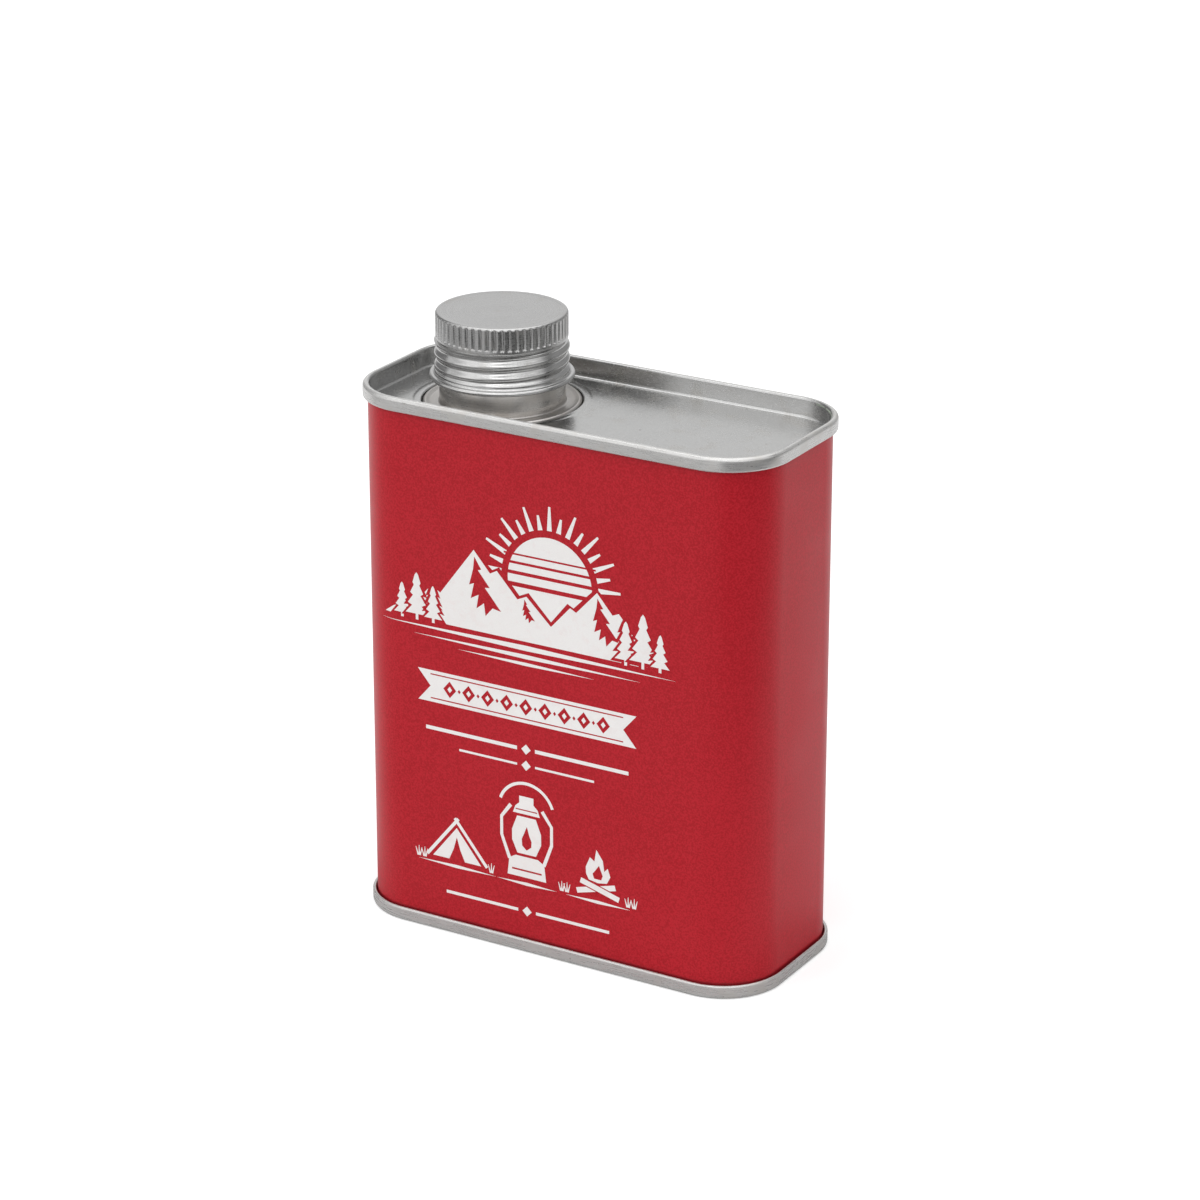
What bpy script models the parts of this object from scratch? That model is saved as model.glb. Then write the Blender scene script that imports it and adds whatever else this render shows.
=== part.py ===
"""Flat half-litre paraffin can with a screw cap, built as its separate pieces.

Units are metres, +Z is up, the origin is on the floor under the middle of the can.
The broad printed face looks along -Y and the screw neck stands near the -X end.
The can is a bent sheet body closed by two double-seamed ends, with a folded
screw neck clinched into the upper end, an inner plug, a cap and its liner.
"""

import math

import bmesh
import bpy

# Body sheet and outer size of the can
BODY_WIDTH = 0.1060
BODY_DEPTH = 0.0465
CAN_HEIGHT = 0.1293
CORNER_RADIUS = 0.0142
TINPLATE = 0.00020
CORNER_STEPS = 5

# Welded side seam, inside the narrow wall at the neck end
LAP_WIDTH = 0.0008
LAP_RISE = 0.00010

# Double seams that join the body to its two ends
SEAM_HEIGHT = 0.0033
SEAM_PLAY = 0.00025
CROWN_RADIUS = 0.0006
HOOK_RADIUS = 0.0003
HOOK_END_ROOM = 0.0003
SEALANT_HEIGHT = 0.00035

# Sunk panels of the two ends
TOP_PANEL_DEPTH = 0.0047
BOTTOM_PANEL_DEPTH = 0.0040
PANEL_RADIUS = 0.0008
PANEL_MARGIN = 0.0005

# Pressed ring and recess in the upper panel that take the neck's flange
NECK_EDGE_ROOM = 0.00147
NECK_END_ROOM = 0.00618
RING_WIDTH = 0.00195
RING_RISE = 0.00015
RING_SLOPE = 0.0004
RECESS_CORNER = 0.00035

# Screw neck, with its pinched flange and the skirt clinched under the panel
NECK_SHEET = 0.0003
NECK_FOLD_PLAY = 0.00025
FLANGE_WIDTH = 0.0038
FLANGE_PLAY = 0.0003
FLANGE_DROP = 0.0003
FOOT_RADIUS = 0.0010
SKIRT_STEP = 0.0009
SKIRT_BEND = 0.0004
CLINCH_WIDTH = 0.0022
HOLE_PLAY = 0.0003
MOUTH_CURL = 0.00035
SHOULDER_HEIGHT = 0.0008
NECK_STEPS = 32

# Rubber gasket between the flange and the recess floor
GASKET_HEIGHT = 0.0004
GASKET_EDGE_ROOM = 0.0003
SEAT_GAP = 0.00025

# Rolled thread shared by the neck and the cap, one right-hand start
THREAD_LEAD = 0.0028
THREAD_DEPTH = 0.00092
THREAD_LENGTH = 0.0067
THREAD_FADE = 0.0009
THREAD_PLAY = 0.00028
THREAD_CREST_HEIGHT = 0.0022
THREAD_ROWS_PER_TURN = 5

# Screw cap, drawn from one sheet
CAP_SHEET = 0.0003
CAP_STANDOFF = 0.0056
CAP_CURL = 0.0005
CAP_CURL_REACH = 0.00041
CAP_FLARE_HEIGHT = 0.00085
CAP_WAIST_HEIGHT = 0.0009
CAP_WAIST_DEPTH = 0.0005
CAP_BAND_INSET = 0.00031
CAP_SKIRT_HEIGHT = 0.0006
KNURL_COUNT = 56
KNURL_LENGTH = 0.0041
KNURL_DEPTH = 0.0003
KNURL_RUNOUT = 0.0004
CAP_SHOULDER_HEIGHT = 0.0007
CAP_EDGE = 0.0005
CAP_STEPS = 40

# Foam liner in the cap and the push-in plug in the mouth
LINER_HEIGHT = 0.0012
LINER_PLAY = 0.0003
STACK_GAP = 0.0003
PLUG_LIP_HEIGHT = 0.0010
PLUG_LIP_INSET = 0.00030
PLUG_DEPTH = 0.0050
PLUG_WALL = 0.0010
PLUG_PLAY = 0.00025
PLUG_CHAMFER = 0.0005

# Layers of the double seam, as distances outward from the body's outer face
layer_step = TINPLATE + SEAM_PLAY
body_wall_offset = -TINPLATE / 2
chuck_wall_offset = body_wall_offset - layer_step
cover_hook_offset = body_wall_offset + layer_step
body_hook_offset = cover_hook_offset + layer_step
seaming_wall_offset = body_hook_offset + layer_step

# Heights in the upper seam; the lower seam is its mirror image
crown_height = CAN_HEIGHT - TINPLATE / 2
sealant_top = CAN_HEIGHT - TINPLATE - SEAM_PLAY
sealant_bottom = sealant_top - SEALANT_HEIGHT
flange_height = sealant_bottom - SEAM_PLAY - TINPLATE / 2
seam_foot = CAN_HEIGHT - SEAM_HEIGHT + TINPLATE / 2
body_hook_end = seam_foot + TINPLATE / 2 + SEAM_PLAY + HOOK_END_ROOM
cover_hook_end = flange_height - TINPLATE / 2 - SEAM_PLAY - HOOK_END_ROOM

# The neck is as wide as the panel between the two long walls allows
panel_edge_offset = chuck_wall_offset - PANEL_RADIUS
panel_top = CAN_HEIGHT - TOP_PANEL_DEPTH
ring_radius = BODY_DEPTH / 2 + panel_edge_offset - NECK_EDGE_ROOM
recess_radius = ring_radius - RING_WIDTH
flange_radius = recess_radius - FLANGE_PLAY
neck_radius = flange_radius - FLANGE_WIDTH
neck_x = -(BODY_WIDTH / 2 + panel_edge_offset - NECK_END_ROOM - ring_radius)

# Heights of the neck's foot, from the flange down to the clinched edge
flange_top = panel_top - NECK_SHEET / 2
fold_radius = (NECK_SHEET + NECK_FOLD_PLAY) / 2
fold_bottom = flange_top - FLANGE_DROP - 2 * fold_radius
gasket_top = fold_bottom - NECK_SHEET / 2 - SEAT_GAP
recess_floor = gasket_top - GASKET_HEIGHT - SEAT_GAP
clinch_height = recess_floor - TINPLATE - SEAT_GAP - NECK_SHEET / 2
skirt_radius = neck_radius - NECK_SHEET / 2 + SKIRT_STEP
hole_radius = skirt_radius + NECK_SHEET / 2 + HOLE_PLAY

# Heights of the cap, from its curled edge up
cap_bottom = panel_top + CAP_STANDOFF
curl_height = cap_bottom + CAP_CURL + CAP_SHEET / 2
thread_bottom = curl_height + CAP_CURL + CAP_FLARE_HEIGHT
thread_top = thread_bottom + THREAD_LENGTH
skirt_bottom = thread_top + CAP_WAIST_HEIGHT
knurl_bottom = skirt_bottom + CAP_SKIRT_HEIGHT
knurl_top = knurl_bottom + KNURL_LENGTH
cap_top = knurl_top + CAP_SHOULDER_HEIGHT + CAP_EDGE

# Radii of the thread on both pieces and of the cap's band
thread_root_radius = neck_radius - THREAD_DEPTH / 2
cap_crest_radius = neck_radius + THREAD_PLAY + THREAD_DEPTH / 2
band_radius = cap_crest_radius + CAP_SHEET - CAP_BAND_INSET
cap_inner_radius = band_radius - KNURL_DEPTH - CAP_SHEET
waist_radius = band_radius - CAP_WAIST_DEPTH
neck_thread_top = thread_top - THREAD_FADE

# Stack under the cap's roof: liner, plug lip, mouth of the neck
liner_top = cap_top - CAP_SHEET - STACK_GAP
liner_bottom = liner_top - LINER_HEIGHT
plug_top = liner_bottom - STACK_GAP
plug_lip_bottom = plug_top - PLUG_LIP_HEIGHT
mouth_top = plug_lip_bottom - STACK_GAP
mouth_radius = thread_root_radius - NECK_SHEET - 2 * MOUTH_CURL


def clear_scene():
    """Start from an empty scene."""
    for thing in list(bpy.data.objects):
        bpy.data.objects.remove(thing, do_unlink=True)


def arc(centre, radius, start_degrees, end_degrees, steps):
    """Points along an arc in the section plane, both ends included."""
    points = []
    for step in range(steps + 1):
        angle = math.radians(start_degrees + (end_degrees - start_degrees) * step / steps)
        points.append((centre[0] + radius * math.cos(angle), centre[1] + radius * math.sin(angle)))
    return points


def sheet_sides(middle, thickness):
    """The two faces of a bent sheet, from the line through the middle of its thickness.

    Going down a wall the first face is the outer one, with the larger radius or offset.
    """
    normals = []
    for (x0, z0), (x1, z1) in zip(middle, middle[1:]):
        length = math.hypot(x1 - x0, z1 - z0)
        normals.append(((z0 - z1) / length, (x1 - x0) / length))
    left = []
    right = []
    for index, (x, z) in enumerate(middle):
        before = normals[max(index - 1, 0)]
        after = normals[min(index, len(normals) - 1)]
        mitre = 1 + before[0] * after[0] + before[1] * after[1]
        shift_x = (before[0] + after[0]) / mitre * thickness / 2
        shift_z = (before[1] + after[1]) / mitre * thickness / 2
        left.append((x + shift_x, z + shift_z))
        right.append((x - shift_x, z - shift_z))
    return left, right


def zip_rings(mesh, ring, other):
    """Join two rings that have different numbers of points with triangles."""
    first = 0
    second = 0
    while first < len(ring) or second < len(other):
        a = ring[first % len(ring)]
        b = other[second % len(other)]
        next_first = (first + 1) / len(ring)
        next_second = (second + 1) / len(other)
        if second == len(other) or (first < len(ring) and next_first <= next_second):
            first += 1
            mesh.faces.new((a, ring[first % len(ring)], b))
        else:
            second += 1
            mesh.faces.new((a, other[second % len(other)], b))


def skin(mesh, rings, closed):
    """Lay a skin over a list of rings; a closed list joins the last ring to the first."""
    pairs = list(zip(rings, rings[1:]))
    if closed:
        pairs.append((rings[-1], rings[0]))
    for ring, other in pairs:
        if len(ring) != len(other):
            zip_rings(mesh, ring, other)
            continue
        for index in range(len(ring)):
            following = (index + 1) % len(ring)
            mesh.faces.new((ring[index], ring[following], other[following], other[index]))


def body_ring(mesh, offset, height, lap_rise=None):
    """A ring that follows the can's rounded rectangle at a distance from its outer face.

    With a lap rise, the ring also has the points of the side seam, which stand in
    from the narrow wall by that rise.
    """
    reach_x = BODY_WIDTH / 2 - CORNER_RADIUS
    reach_y = BODY_DEPTH / 2 - CORNER_RADIUS
    corners = (
        (reach_x, -reach_y, -90),
        (reach_x, reach_y, 0),
        (-reach_x, reach_y, 90),
        (-reach_x, -reach_y, 180),
    )
    points = []
    for x, y, start in corners:
        points += arc((x, y), CORNER_RADIUS + offset, start, start + 90, CORNER_STEPS)
        if lap_rise is not None and start == 90:
            wall_x = -(BODY_WIDTH / 2 + offset)
            lap_x = wall_x + lap_rise
            ramp_y = LAP_WIDTH / 2 + LAP_RISE
            points += [(wall_x, ramp_y), (lap_x, LAP_WIDTH / 2), (lap_x, -LAP_WIDTH / 2), (wall_x, -ramp_y)]
    return [mesh.verts.new((x, y, height)) for x, y in points]


def turned_ring(mesh, radius, height, steps, centre_x=0.0):
    """A ring round the neck's axis; the radius may be a function of the angle."""
    ring = []
    for step in range(steps):
        angle = 2 * math.pi * step / steps
        reach = radius(angle) if callable(radius) else radius
        ring.append(mesh.verts.new((centre_x + reach * math.cos(angle), reach * math.sin(angle), height)))
    return ring


def thread_wave(angle, height):
    """Height of the thread's wave, from 0 in the groove to 1 on the crest."""
    turns = (height - thread_bottom - THREAD_CREST_HEIGHT) / THREAD_LEAD
    return (1 + math.cos(2 * math.pi * turns - angle)) / 2


def ramp(value):
    """A straight ramp held between 0 and 1."""
    return min(max(value, 0.0), 1.0)


def thread_rows(bottom, top):
    """Heights of the rows that carry the thread, evenly spaced."""
    count = round((top - bottom) / THREAD_LEAD * THREAD_ROWS_PER_TURN)
    return [bottom + (top - bottom) * row / count for row in range(count + 1)]


def finish(mesh, name, colour, roughness, metallic, location=(0.0, 0.0, 0.0)):
    """Turn the mesh into a named object with its own material and smooth shading."""
    bmesh.ops.recalc_face_normals(mesh, faces=mesh.faces)
    data = bpy.data.meshes.new(name)
    mesh.to_mesh(data)
    mesh.free()
    data.shade_smooth()
    data.set_sharp_from_angle(angle=math.radians(35))
    material = bpy.data.materials.new(name + "_material")
    material.use_nodes = True
    shader = material.node_tree.nodes["Principled BSDF"]
    shader.inputs["Base Color"].default_value = (*colour, 1.0)
    shader.inputs["Roughness"].default_value = roughness
    shader.inputs["Metallic"].default_value = metallic
    data.materials.append(material)
    thing = bpy.data.objects.new(name, data)
    thing.location = location
    bpy.context.scene.collection.objects.link(thing)
    return thing


def mirrored(points):
    """The same section turned upside down, for the lower end of the can."""
    return [(offset, CAN_HEIGHT - height) for offset, height in points]


def make_body_shell():
    """Lacquered body sheet, its lapped side seam and the hooks at both its ends."""
    inner_turn = body_wall_offset + HOOK_RADIUS
    outer_turn = body_hook_offset - HOOK_RADIUS
    turn_height = flange_height - HOOK_RADIUS
    upper = [(body_hook_offset, body_hook_end)]
    upper += arc((outer_turn, turn_height), HOOK_RADIUS, 0, 90, 2)
    upper += arc((inner_turn, turn_height), HOOK_RADIUS, 90, 180, 2)
    middle = upper + list(reversed(mirrored(upper)))
    outside, inside = sheet_sides(middle, TINPLATE)
    wall_ends = (len(upper) - 1, len(upper))
    mesh = bmesh.new()
    rings = [body_ring(mesh, offset, height, 0.0) for offset, height in outside]
    for index in reversed(range(len(inside))):
        offset, height = inside[index]
        rise = LAP_RISE if index in wall_ends else 0.0
        rings.append(body_ring(mesh, offset, height, rise))
    skin(mesh, rings, closed=True)
    return finish(mesh, "body_shell", (0.434, 0.021, 0.032), 0.45, 0.0)


def end_section(panel_height):
    """Middle line of an end sheet, from its panel up the chuck wall to the cover hook."""
    panel_middle = panel_height - TINPLATE / 2
    fillet_height = panel_middle + PANEL_RADIUS
    turn_height = crown_height - CROWN_RADIUS
    foot_height = seam_foot + layer_step
    middle = [(panel_edge_offset - PANEL_MARGIN, panel_middle)]
    middle += arc((panel_edge_offset, fillet_height), PANEL_RADIUS, -90, 0, 3)
    middle += arc((chuck_wall_offset + CROWN_RADIUS, turn_height), CROWN_RADIUS, 180, 90, 2)
    middle += arc((seaming_wall_offset - CROWN_RADIUS, turn_height), CROWN_RADIUS, 90, 0, 2)
    middle += arc((body_hook_offset, foot_height), layer_step, 0, -180, 4)
    middle.append((cover_hook_offset, cover_hook_end))
    return middle


def fill_level(mesh, rings):
    """Fill the level area inside the first ring, less the holes that the others bound."""
    edges = []
    for ring in rings:
        for index in range(len(ring)):
            edges.append(mesh.edges.get((ring[index - 1], ring[index])))
    bmesh.ops.triangle_fill(mesh, use_beauty=True, edges=edges, normal=(0.0, 0.0, 1.0))


def recess_section():
    """Middle line of the upper panel from outside the pressed ring in to the neck's hole."""
    level = panel_top - TINPLATE / 2
    raised = level + RING_RISE
    wall_radius = recess_radius + TINPLATE / 2
    floor = recess_floor - TINPLATE / 2
    middle = [(ring_radius + PANEL_MARGIN, level), (ring_radius, level), (ring_radius - RING_SLOPE, raised)]
    middle += arc((wall_radius + RECESS_CORNER, raised - RECESS_CORNER), RECESS_CORNER, 90, 180, 2)
    middle += arc((wall_radius - RECESS_CORNER, floor + RECESS_CORNER), RECESS_CORNER, 0, -90, 2)
    middle.append((hole_radius, floor))
    return middle


def make_top_end():
    """Tinplate upper end with its seamed rim and the recess and hole for the neck."""
    mesh = bmesh.new()
    rim_faces = sheet_sides(end_section(panel_top), TINPLATE)
    rim = [[body_ring(mesh, offset, height) for offset, height in face] for face in rim_faces]
    skin(mesh, rim[0] + list(reversed(rim[1])), closed=False)
    recess_faces = sheet_sides(recess_section(), TINPLATE)
    recess = []
    for face in recess_faces:
        recess.append([turned_ring(mesh, radius, height, CAP_STEPS, neck_x) for radius, height in face])
    skin(mesh, recess[0] + list(reversed(recess[1])), closed=False)
    fill_level(mesh, (rim[0][0], recess[1][0]))
    fill_level(mesh, (rim[1][0], recess[0][0]))
    return finish(mesh, "top_end", (0.50, 0.50, 0.49), 0.35, 1.0)


def make_bottom_end():
    """Tinplate lower end, a plain sunk panel with the same seamed rim."""
    mesh = bmesh.new()
    faces = sheet_sides(mirrored(end_section(CAN_HEIGHT - BOTTOM_PANEL_DEPTH)), TINPLATE)
    rim = [[body_ring(mesh, offset, height) for offset, height in face] for face in faces]
    skin(mesh, rim[0] + list(reversed(rim[1])), closed=False)
    mesh.faces.new(rim[0][0])
    mesh.faces.new(rim[1][0])
    return finish(mesh, "bottom_end", (0.50, 0.50, 0.49), 0.35, 1.0)


def make_seam_sealant(name, turn_over):
    """Ring of lining compound squeezed between a seam's crown and the body's flange."""
    section = [
        (body_wall_offset, sealant_bottom),
        (body_hook_offset, sealant_bottom),
        (body_hook_offset, sealant_top),
        (body_wall_offset, sealant_top),
    ]
    if turn_over:
        section = mirrored(section)
    mesh = bmesh.new()
    skin(mesh, [body_ring(mesh, offset, height) for offset, height in section], closed=True)
    return finish(mesh, name, (0.28, 0.31, 0.27), 0.7, 0.0)


def neck_section():
    """Middle line of the neck sheet, from its curled mouth down to the clinched edge."""
    mouth_middle = mouth_radius + NECK_SHEET / 2
    curl_centre = (mouth_middle + MOUTH_CURL, mouth_top - NECK_SHEET / 2 - MOUTH_CURL)
    root_middle = thread_root_radius - NECK_SHEET / 2
    wall_middle = neck_radius - NECK_SHEET / 2
    fold_x = flange_radius - NECK_SHEET / 2 - fold_radius
    bend_x = skirt_radius + SKIRT_BEND
    middle = arc(curl_centre, MOUTH_CURL, -60, 180, 5)
    middle.append((mouth_middle, neck_thread_top + 2 * SHOULDER_HEIGHT))
    middle.append((root_middle, neck_thread_top + SHOULDER_HEIGHT))
    middle += [(root_middle, height) for height in reversed(thread_rows(thread_bottom, neck_thread_top))]
    middle.append((wall_middle, thread_bottom - SHOULDER_HEIGHT))
    middle += arc((wall_middle + FOOT_RADIUS, flange_top + FOOT_RADIUS), FOOT_RADIUS, 180, 270, 2)
    middle += arc((fold_x, fold_bottom + fold_radius), fold_radius, 90, -90, 3)
    middle += arc((bend_x, fold_bottom - SKIRT_BEND), SKIRT_BEND, 90, 180, 2)
    middle += arc((bend_x, clinch_height + SKIRT_BEND), SKIRT_BEND, 180, 270, 2)
    middle.append((skirt_radius + CLINCH_WIDTH, clinch_height))
    return middle


def neck_thread(radius, middle_height, height):
    """Radius of the neck sheet round its axis where the thread is rolled into it."""
    rise = ramp((middle_height - thread_bottom) / THREAD_FADE)
    fall = ramp((neck_thread_top - middle_height) / THREAD_FADE)
    depth = THREAD_DEPTH * min(rise, fall)
    return lambda angle: radius + depth * thread_wave(angle, height)


def make_neck():
    """Tinplate screw neck: curled mouth, rolled thread, pinched flange and clinched skirt."""
    middle = neck_section()
    mesh = bmesh.new()
    faces = []
    for side in sheet_sides(middle, NECK_SHEET):
        rings = []
        for (radius, height), (_, middle_height) in zip(side, middle):
            rings.append(turned_ring(mesh, neck_thread(radius, middle_height, height), height, NECK_STEPS))
        faces.append(rings)
    skin(mesh, faces[0] + list(reversed(faces[1])), closed=True)
    return finish(mesh, "neck", (0.40, 0.39, 0.38), 0.38, 1.0, (neck_x, 0.0, 0.0))


def make_neck_gasket():
    """Rubber ring pinched between the neck's flange and the recess floor."""
    inner = hole_radius + GASKET_EDGE_ROOM
    outer = flange_radius - GASKET_EDGE_ROOM
    bottom = gasket_top - GASKET_HEIGHT
    mesh = bmesh.new()
    section = ((inner, bottom), (outer, bottom), (outer, gasket_top), (inner, gasket_top))
    skin(mesh, [turned_ring(mesh, radius, height, NECK_STEPS) for radius, height in section], closed=True)
    return finish(mesh, "neck_gasket", (0.02, 0.02, 0.02), 0.8, 0.0, (neck_x, 0.0, 0.0))


def make_inner_plug():
    """Push-in plastic plug: a cup whose lip rests on the mouth of the neck."""
    lip_radius = thread_root_radius - PLUG_LIP_INSET
    skirt = mouth_radius - PLUG_PLAY
    cup_radius = skirt - PLUG_WALL
    bottom = plug_lip_bottom - PLUG_DEPTH
    section = (
        (cup_radius, bottom + PLUG_WALL),
        (cup_radius, plug_top),
        (lip_radius, plug_top),
        (lip_radius, plug_lip_bottom),
        (skirt, plug_lip_bottom),
        (skirt, bottom + PLUG_CHAMFER),
        (skirt - PLUG_CHAMFER, bottom),
    )
    mesh = bmesh.new()
    rings = [turned_ring(mesh, radius, height, NECK_STEPS) for radius, height in section]
    skin(mesh, rings, closed=False)
    mesh.faces.new(rings[0])
    mesh.faces.new(rings[-1])
    return finish(mesh, "inner_plug", (0.80, 0.80, 0.77), 0.5, 0.0, (neck_x, 0.0, 0.0))


def make_cap_liner():
    """Foam disc in the roof of the cap, which presses on the plug's lip."""
    radius = cap_inner_radius - LINER_PLAY
    mesh = bmesh.new()
    rings = [turned_ring(mesh, radius, height, NECK_STEPS) for height in (liner_bottom, liner_top)]
    skin(mesh, rings, closed=False)
    mesh.faces.new(rings[0])
    mesh.faces.new(rings[1])
    return finish(mesh, "cap_liner", (0.78, 0.78, 0.76), 0.9, 0.0, (neck_x, 0.0, 0.0))


def cap_thread(radius, height):
    """Radius of the cap sheet round its axis where the thread is rolled into it."""
    depth = THREAD_DEPTH * ramp((height - thread_bottom) / THREAD_FADE)
    return lambda angle: radius - depth * (1 - thread_wave(angle, height))


def curl_section():
    """Middle line of the cap's lower edge, flared out and curled under into a bead."""
    wall_middle = cap_crest_radius + CAP_SHEET / 2
    centre = (wall_middle + CAP_CURL_REACH + CAP_SHEET / 2, curl_height)
    return [(wall_middle, thread_bottom)] + arc(centre, CAP_CURL, 130, -150, 6)


def knurl_rings(mesh):
    """Rings of the knurled band, each with a crest and a groove for every knurl."""
    steps = 2 * KNURL_COUNT

    def fluted(angle):
        groove = round(angle / (2 * math.pi) * steps) % 2
        return band_radius - KNURL_DEPTH * groove

    rows = (
        (band_radius, knurl_top),
        (fluted, knurl_top - KNURL_RUNOUT),
        (fluted, knurl_bottom + KNURL_RUNOUT),
        (band_radius, knurl_bottom),
    )
    return [turned_ring(mesh, radius, height, steps) for radius, height in rows]


def make_screw_cap():
    """Screw cap drawn from one sheet: flat roof, knurled band, rolled thread, curled edge."""
    mesh = bmesh.new()
    outside, inside = sheet_sides(curl_section(), CAP_SHEET)

    def ring(radius, height):
        return turned_ring(mesh, radius, height, CAP_STEPS)

    rings = [
        ring(band_radius - CAP_EDGE, cap_top),
        ring(band_radius, cap_top - CAP_EDGE),
    ]
    rings += knurl_rings(mesh)
    rings.append(ring(band_radius, skirt_bottom))
    rings.append(ring(waist_radius, skirt_bottom - CAP_WAIST_DEPTH))
    rows = thread_rows(thread_bottom, thread_top)
    outer_crest = cap_crest_radius + CAP_SHEET
    rings += [ring(cap_thread(outer_crest, height), height) for height in reversed(rows)]
    rings += [ring(radius, height) for radius, height in outside[1:]]
    rings += [ring(radius, height) for radius, height in reversed(inside[1:])]
    rings += [ring(cap_thread(cap_crest_radius, height), height) for height in rows]
    rings.append(ring(waist_radius - CAP_SHEET, skirt_bottom - CAP_WAIST_DEPTH))
    rings.append(ring(cap_inner_radius, skirt_bottom))
    rings.append(ring(cap_inner_radius, cap_top - CAP_SHEET))
    skin(mesh, rings, closed=False)
    mesh.faces.new(rings[0])
    mesh.faces.new(rings[-1])
    return finish(mesh, "screw_cap", (0.46, 0.455, 0.45), 0.34, 1.0, (neck_x, 0.0, 0.0))


clear_scene()
make_body_shell()
make_top_end()
make_bottom_end()
make_seam_sealant("top_seam_sealant", turn_over=False)
make_seam_sealant("bottom_seam_sealant", turn_over=True)
make_neck()
make_neck_gasket()
make_inner_plug()
make_cap_liner()
make_screw_cap()
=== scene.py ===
"""Flat half-litre paraffin can in red lacquered tinplate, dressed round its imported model.

Sizes are in millimetres and become metres when a mesh is finished. The sections follow
the can as it is put together: body sheet, print, upper end, lower end, seam compound and
gasket, neck, plug, liner and cap, and then the floor, the light and the camera.
"""

import math

import bmesh
import bpy
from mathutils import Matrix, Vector
from mathutils.geometry import delaunay_2d_cdt


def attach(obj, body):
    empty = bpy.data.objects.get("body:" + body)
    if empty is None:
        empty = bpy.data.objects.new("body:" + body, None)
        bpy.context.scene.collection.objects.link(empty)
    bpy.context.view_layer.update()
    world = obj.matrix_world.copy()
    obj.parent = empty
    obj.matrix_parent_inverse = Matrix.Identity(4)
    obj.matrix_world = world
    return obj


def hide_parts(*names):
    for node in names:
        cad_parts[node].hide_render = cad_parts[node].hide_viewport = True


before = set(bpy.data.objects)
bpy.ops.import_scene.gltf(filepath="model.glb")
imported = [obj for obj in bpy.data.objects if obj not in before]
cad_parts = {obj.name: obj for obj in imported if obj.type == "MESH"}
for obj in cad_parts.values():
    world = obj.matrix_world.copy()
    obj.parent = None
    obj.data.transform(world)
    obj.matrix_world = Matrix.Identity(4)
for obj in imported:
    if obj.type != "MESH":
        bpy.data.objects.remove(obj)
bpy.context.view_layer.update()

MM = 0.001


# Body sheet. Tinplate lacquered red on its outer face, bent to a rounded rectangle and
# welded down the middle of the narrow wall at the neck end, where the lacquer stops short
# of the weld. Both its edges are rolled into hooks that the seams of the ends grip.
body_width = 106.0
body_depth = 46.5
can_height = 129.3
corner_radius = 14.2
corner_steps = 18
flat_margin = 0.4
corner_tightness = 0.8
wall_belly = 4.5
belly_start = 4.0
belly_rise = 12.0
belly_end = 5.0
belly_fall = 50.0
tinplate = 0.20
seam_gap = 0.25
seam_height = 3.3
crown_inner_radius = 0.50
crown_outer_radius = 0.74
hook_radius = 0.3
hook_end_room = 0.3
sealant_height = 0.35
lap_width = 0.8
lap_rise = 0.1
lap_ends = 4.0
bare_stripe = 5.2
weld_line = 0.9
narrow_wall_from = 52.0
stripe_edge = 0.10
# Painted shade: a thin dark line on the red just under the upper seam and just over the lower one.
painted_shade_edge = 0.12
painted_shade_reach = 0.55
painted_shade_full = 0.05
sharp_angle = 38.0

pressed_gap = 0.04
layer_step = 0.38
body_wall = -tinplate / 2
chuck_wall = body_wall - tinplate - pressed_gap
cover_hook = body_wall + layer_step
body_hook = cover_hook + layer_step
seaming_wall = body_hook + layer_step
crown_middle = can_height - tinplate / 2
flange_middle = can_height - tinplate - seam_gap - sealant_height - seam_gap - tinplate / 2
seam_foot = can_height - seam_height + tinplate / 2
body_hook_end = seam_foot + tinplate / 2 + seam_gap + hook_end_room
cover_hook_end = flange_middle - tinplate / 2 - seam_gap - hook_end_room
corner_x = body_width / 2 - corner_radius
corner_y = body_depth / 2 - corner_radius

deep_red = (0.404, 0.0054, 0.0132)
light_red = (0.506, 0.0104, 0.0220)
speck_red = (0.16, 0.006, 0.010)
# Colour of the painted shade line along the foot of the seams.
painted_shade_red = (0.10, 0.007, 0.009)
stripe_grey = (0.56, 0.55, 0.52)
weld_grey = (0.30, 0.28, 0.26)
stripe_brown = (0.36, 0.33, 0.28)
tin_grey = (0.54, 0.54, 0.535)
pit_brown = (0.16, 0.14, 0.12)


def arc(centre, radius, start, end, steps):
    """Points along an arc, both its ends included; angles in degrees."""
    points = []
    for step in range(steps + 1):
        angle = math.radians(start + (end - start) * step / steps)
        points.append((centre[0] + radius * math.cos(angle), centre[1] + radius * math.sin(angle)))
    return points


def ramp(value):
    """A smooth ramp held between 0 and 1."""
    value = min(max(value, 0.0), 1.0)
    return value * value * (3 - 2 * value)


def sheet_faces(middle, thickness):
    """The two faces of a bent sheet, from the line through the middle of its thickness."""
    normals = []
    for (x0, z0), (x1, z1) in zip(middle, middle[1:]):
        length = math.hypot(x1 - x0, z1 - z0)
        normals.append(((z0 - z1) / length, (x1 - x0) / length))
    left, right = [], []
    for index, (x, z) in enumerate(middle):
        before = normals[max(index - 1, 0)]
        after = normals[min(index, len(normals) - 1)]
        mitre = 1 + before[0] * after[0] + before[1] * after[1]
        shift_x = (before[0] + after[0]) / mitre * thickness / 2
        shift_z = (before[1] + after[1]) / mitre * thickness / 2
        left.append((x + shift_x, z + shift_z))
        right.append((x - shift_x, z - shift_z))
    return left, right


def turned_over(section):
    """The same section upside down, for the lower end of the can."""
    return [(offset, can_height - height) for offset, height in section]


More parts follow.
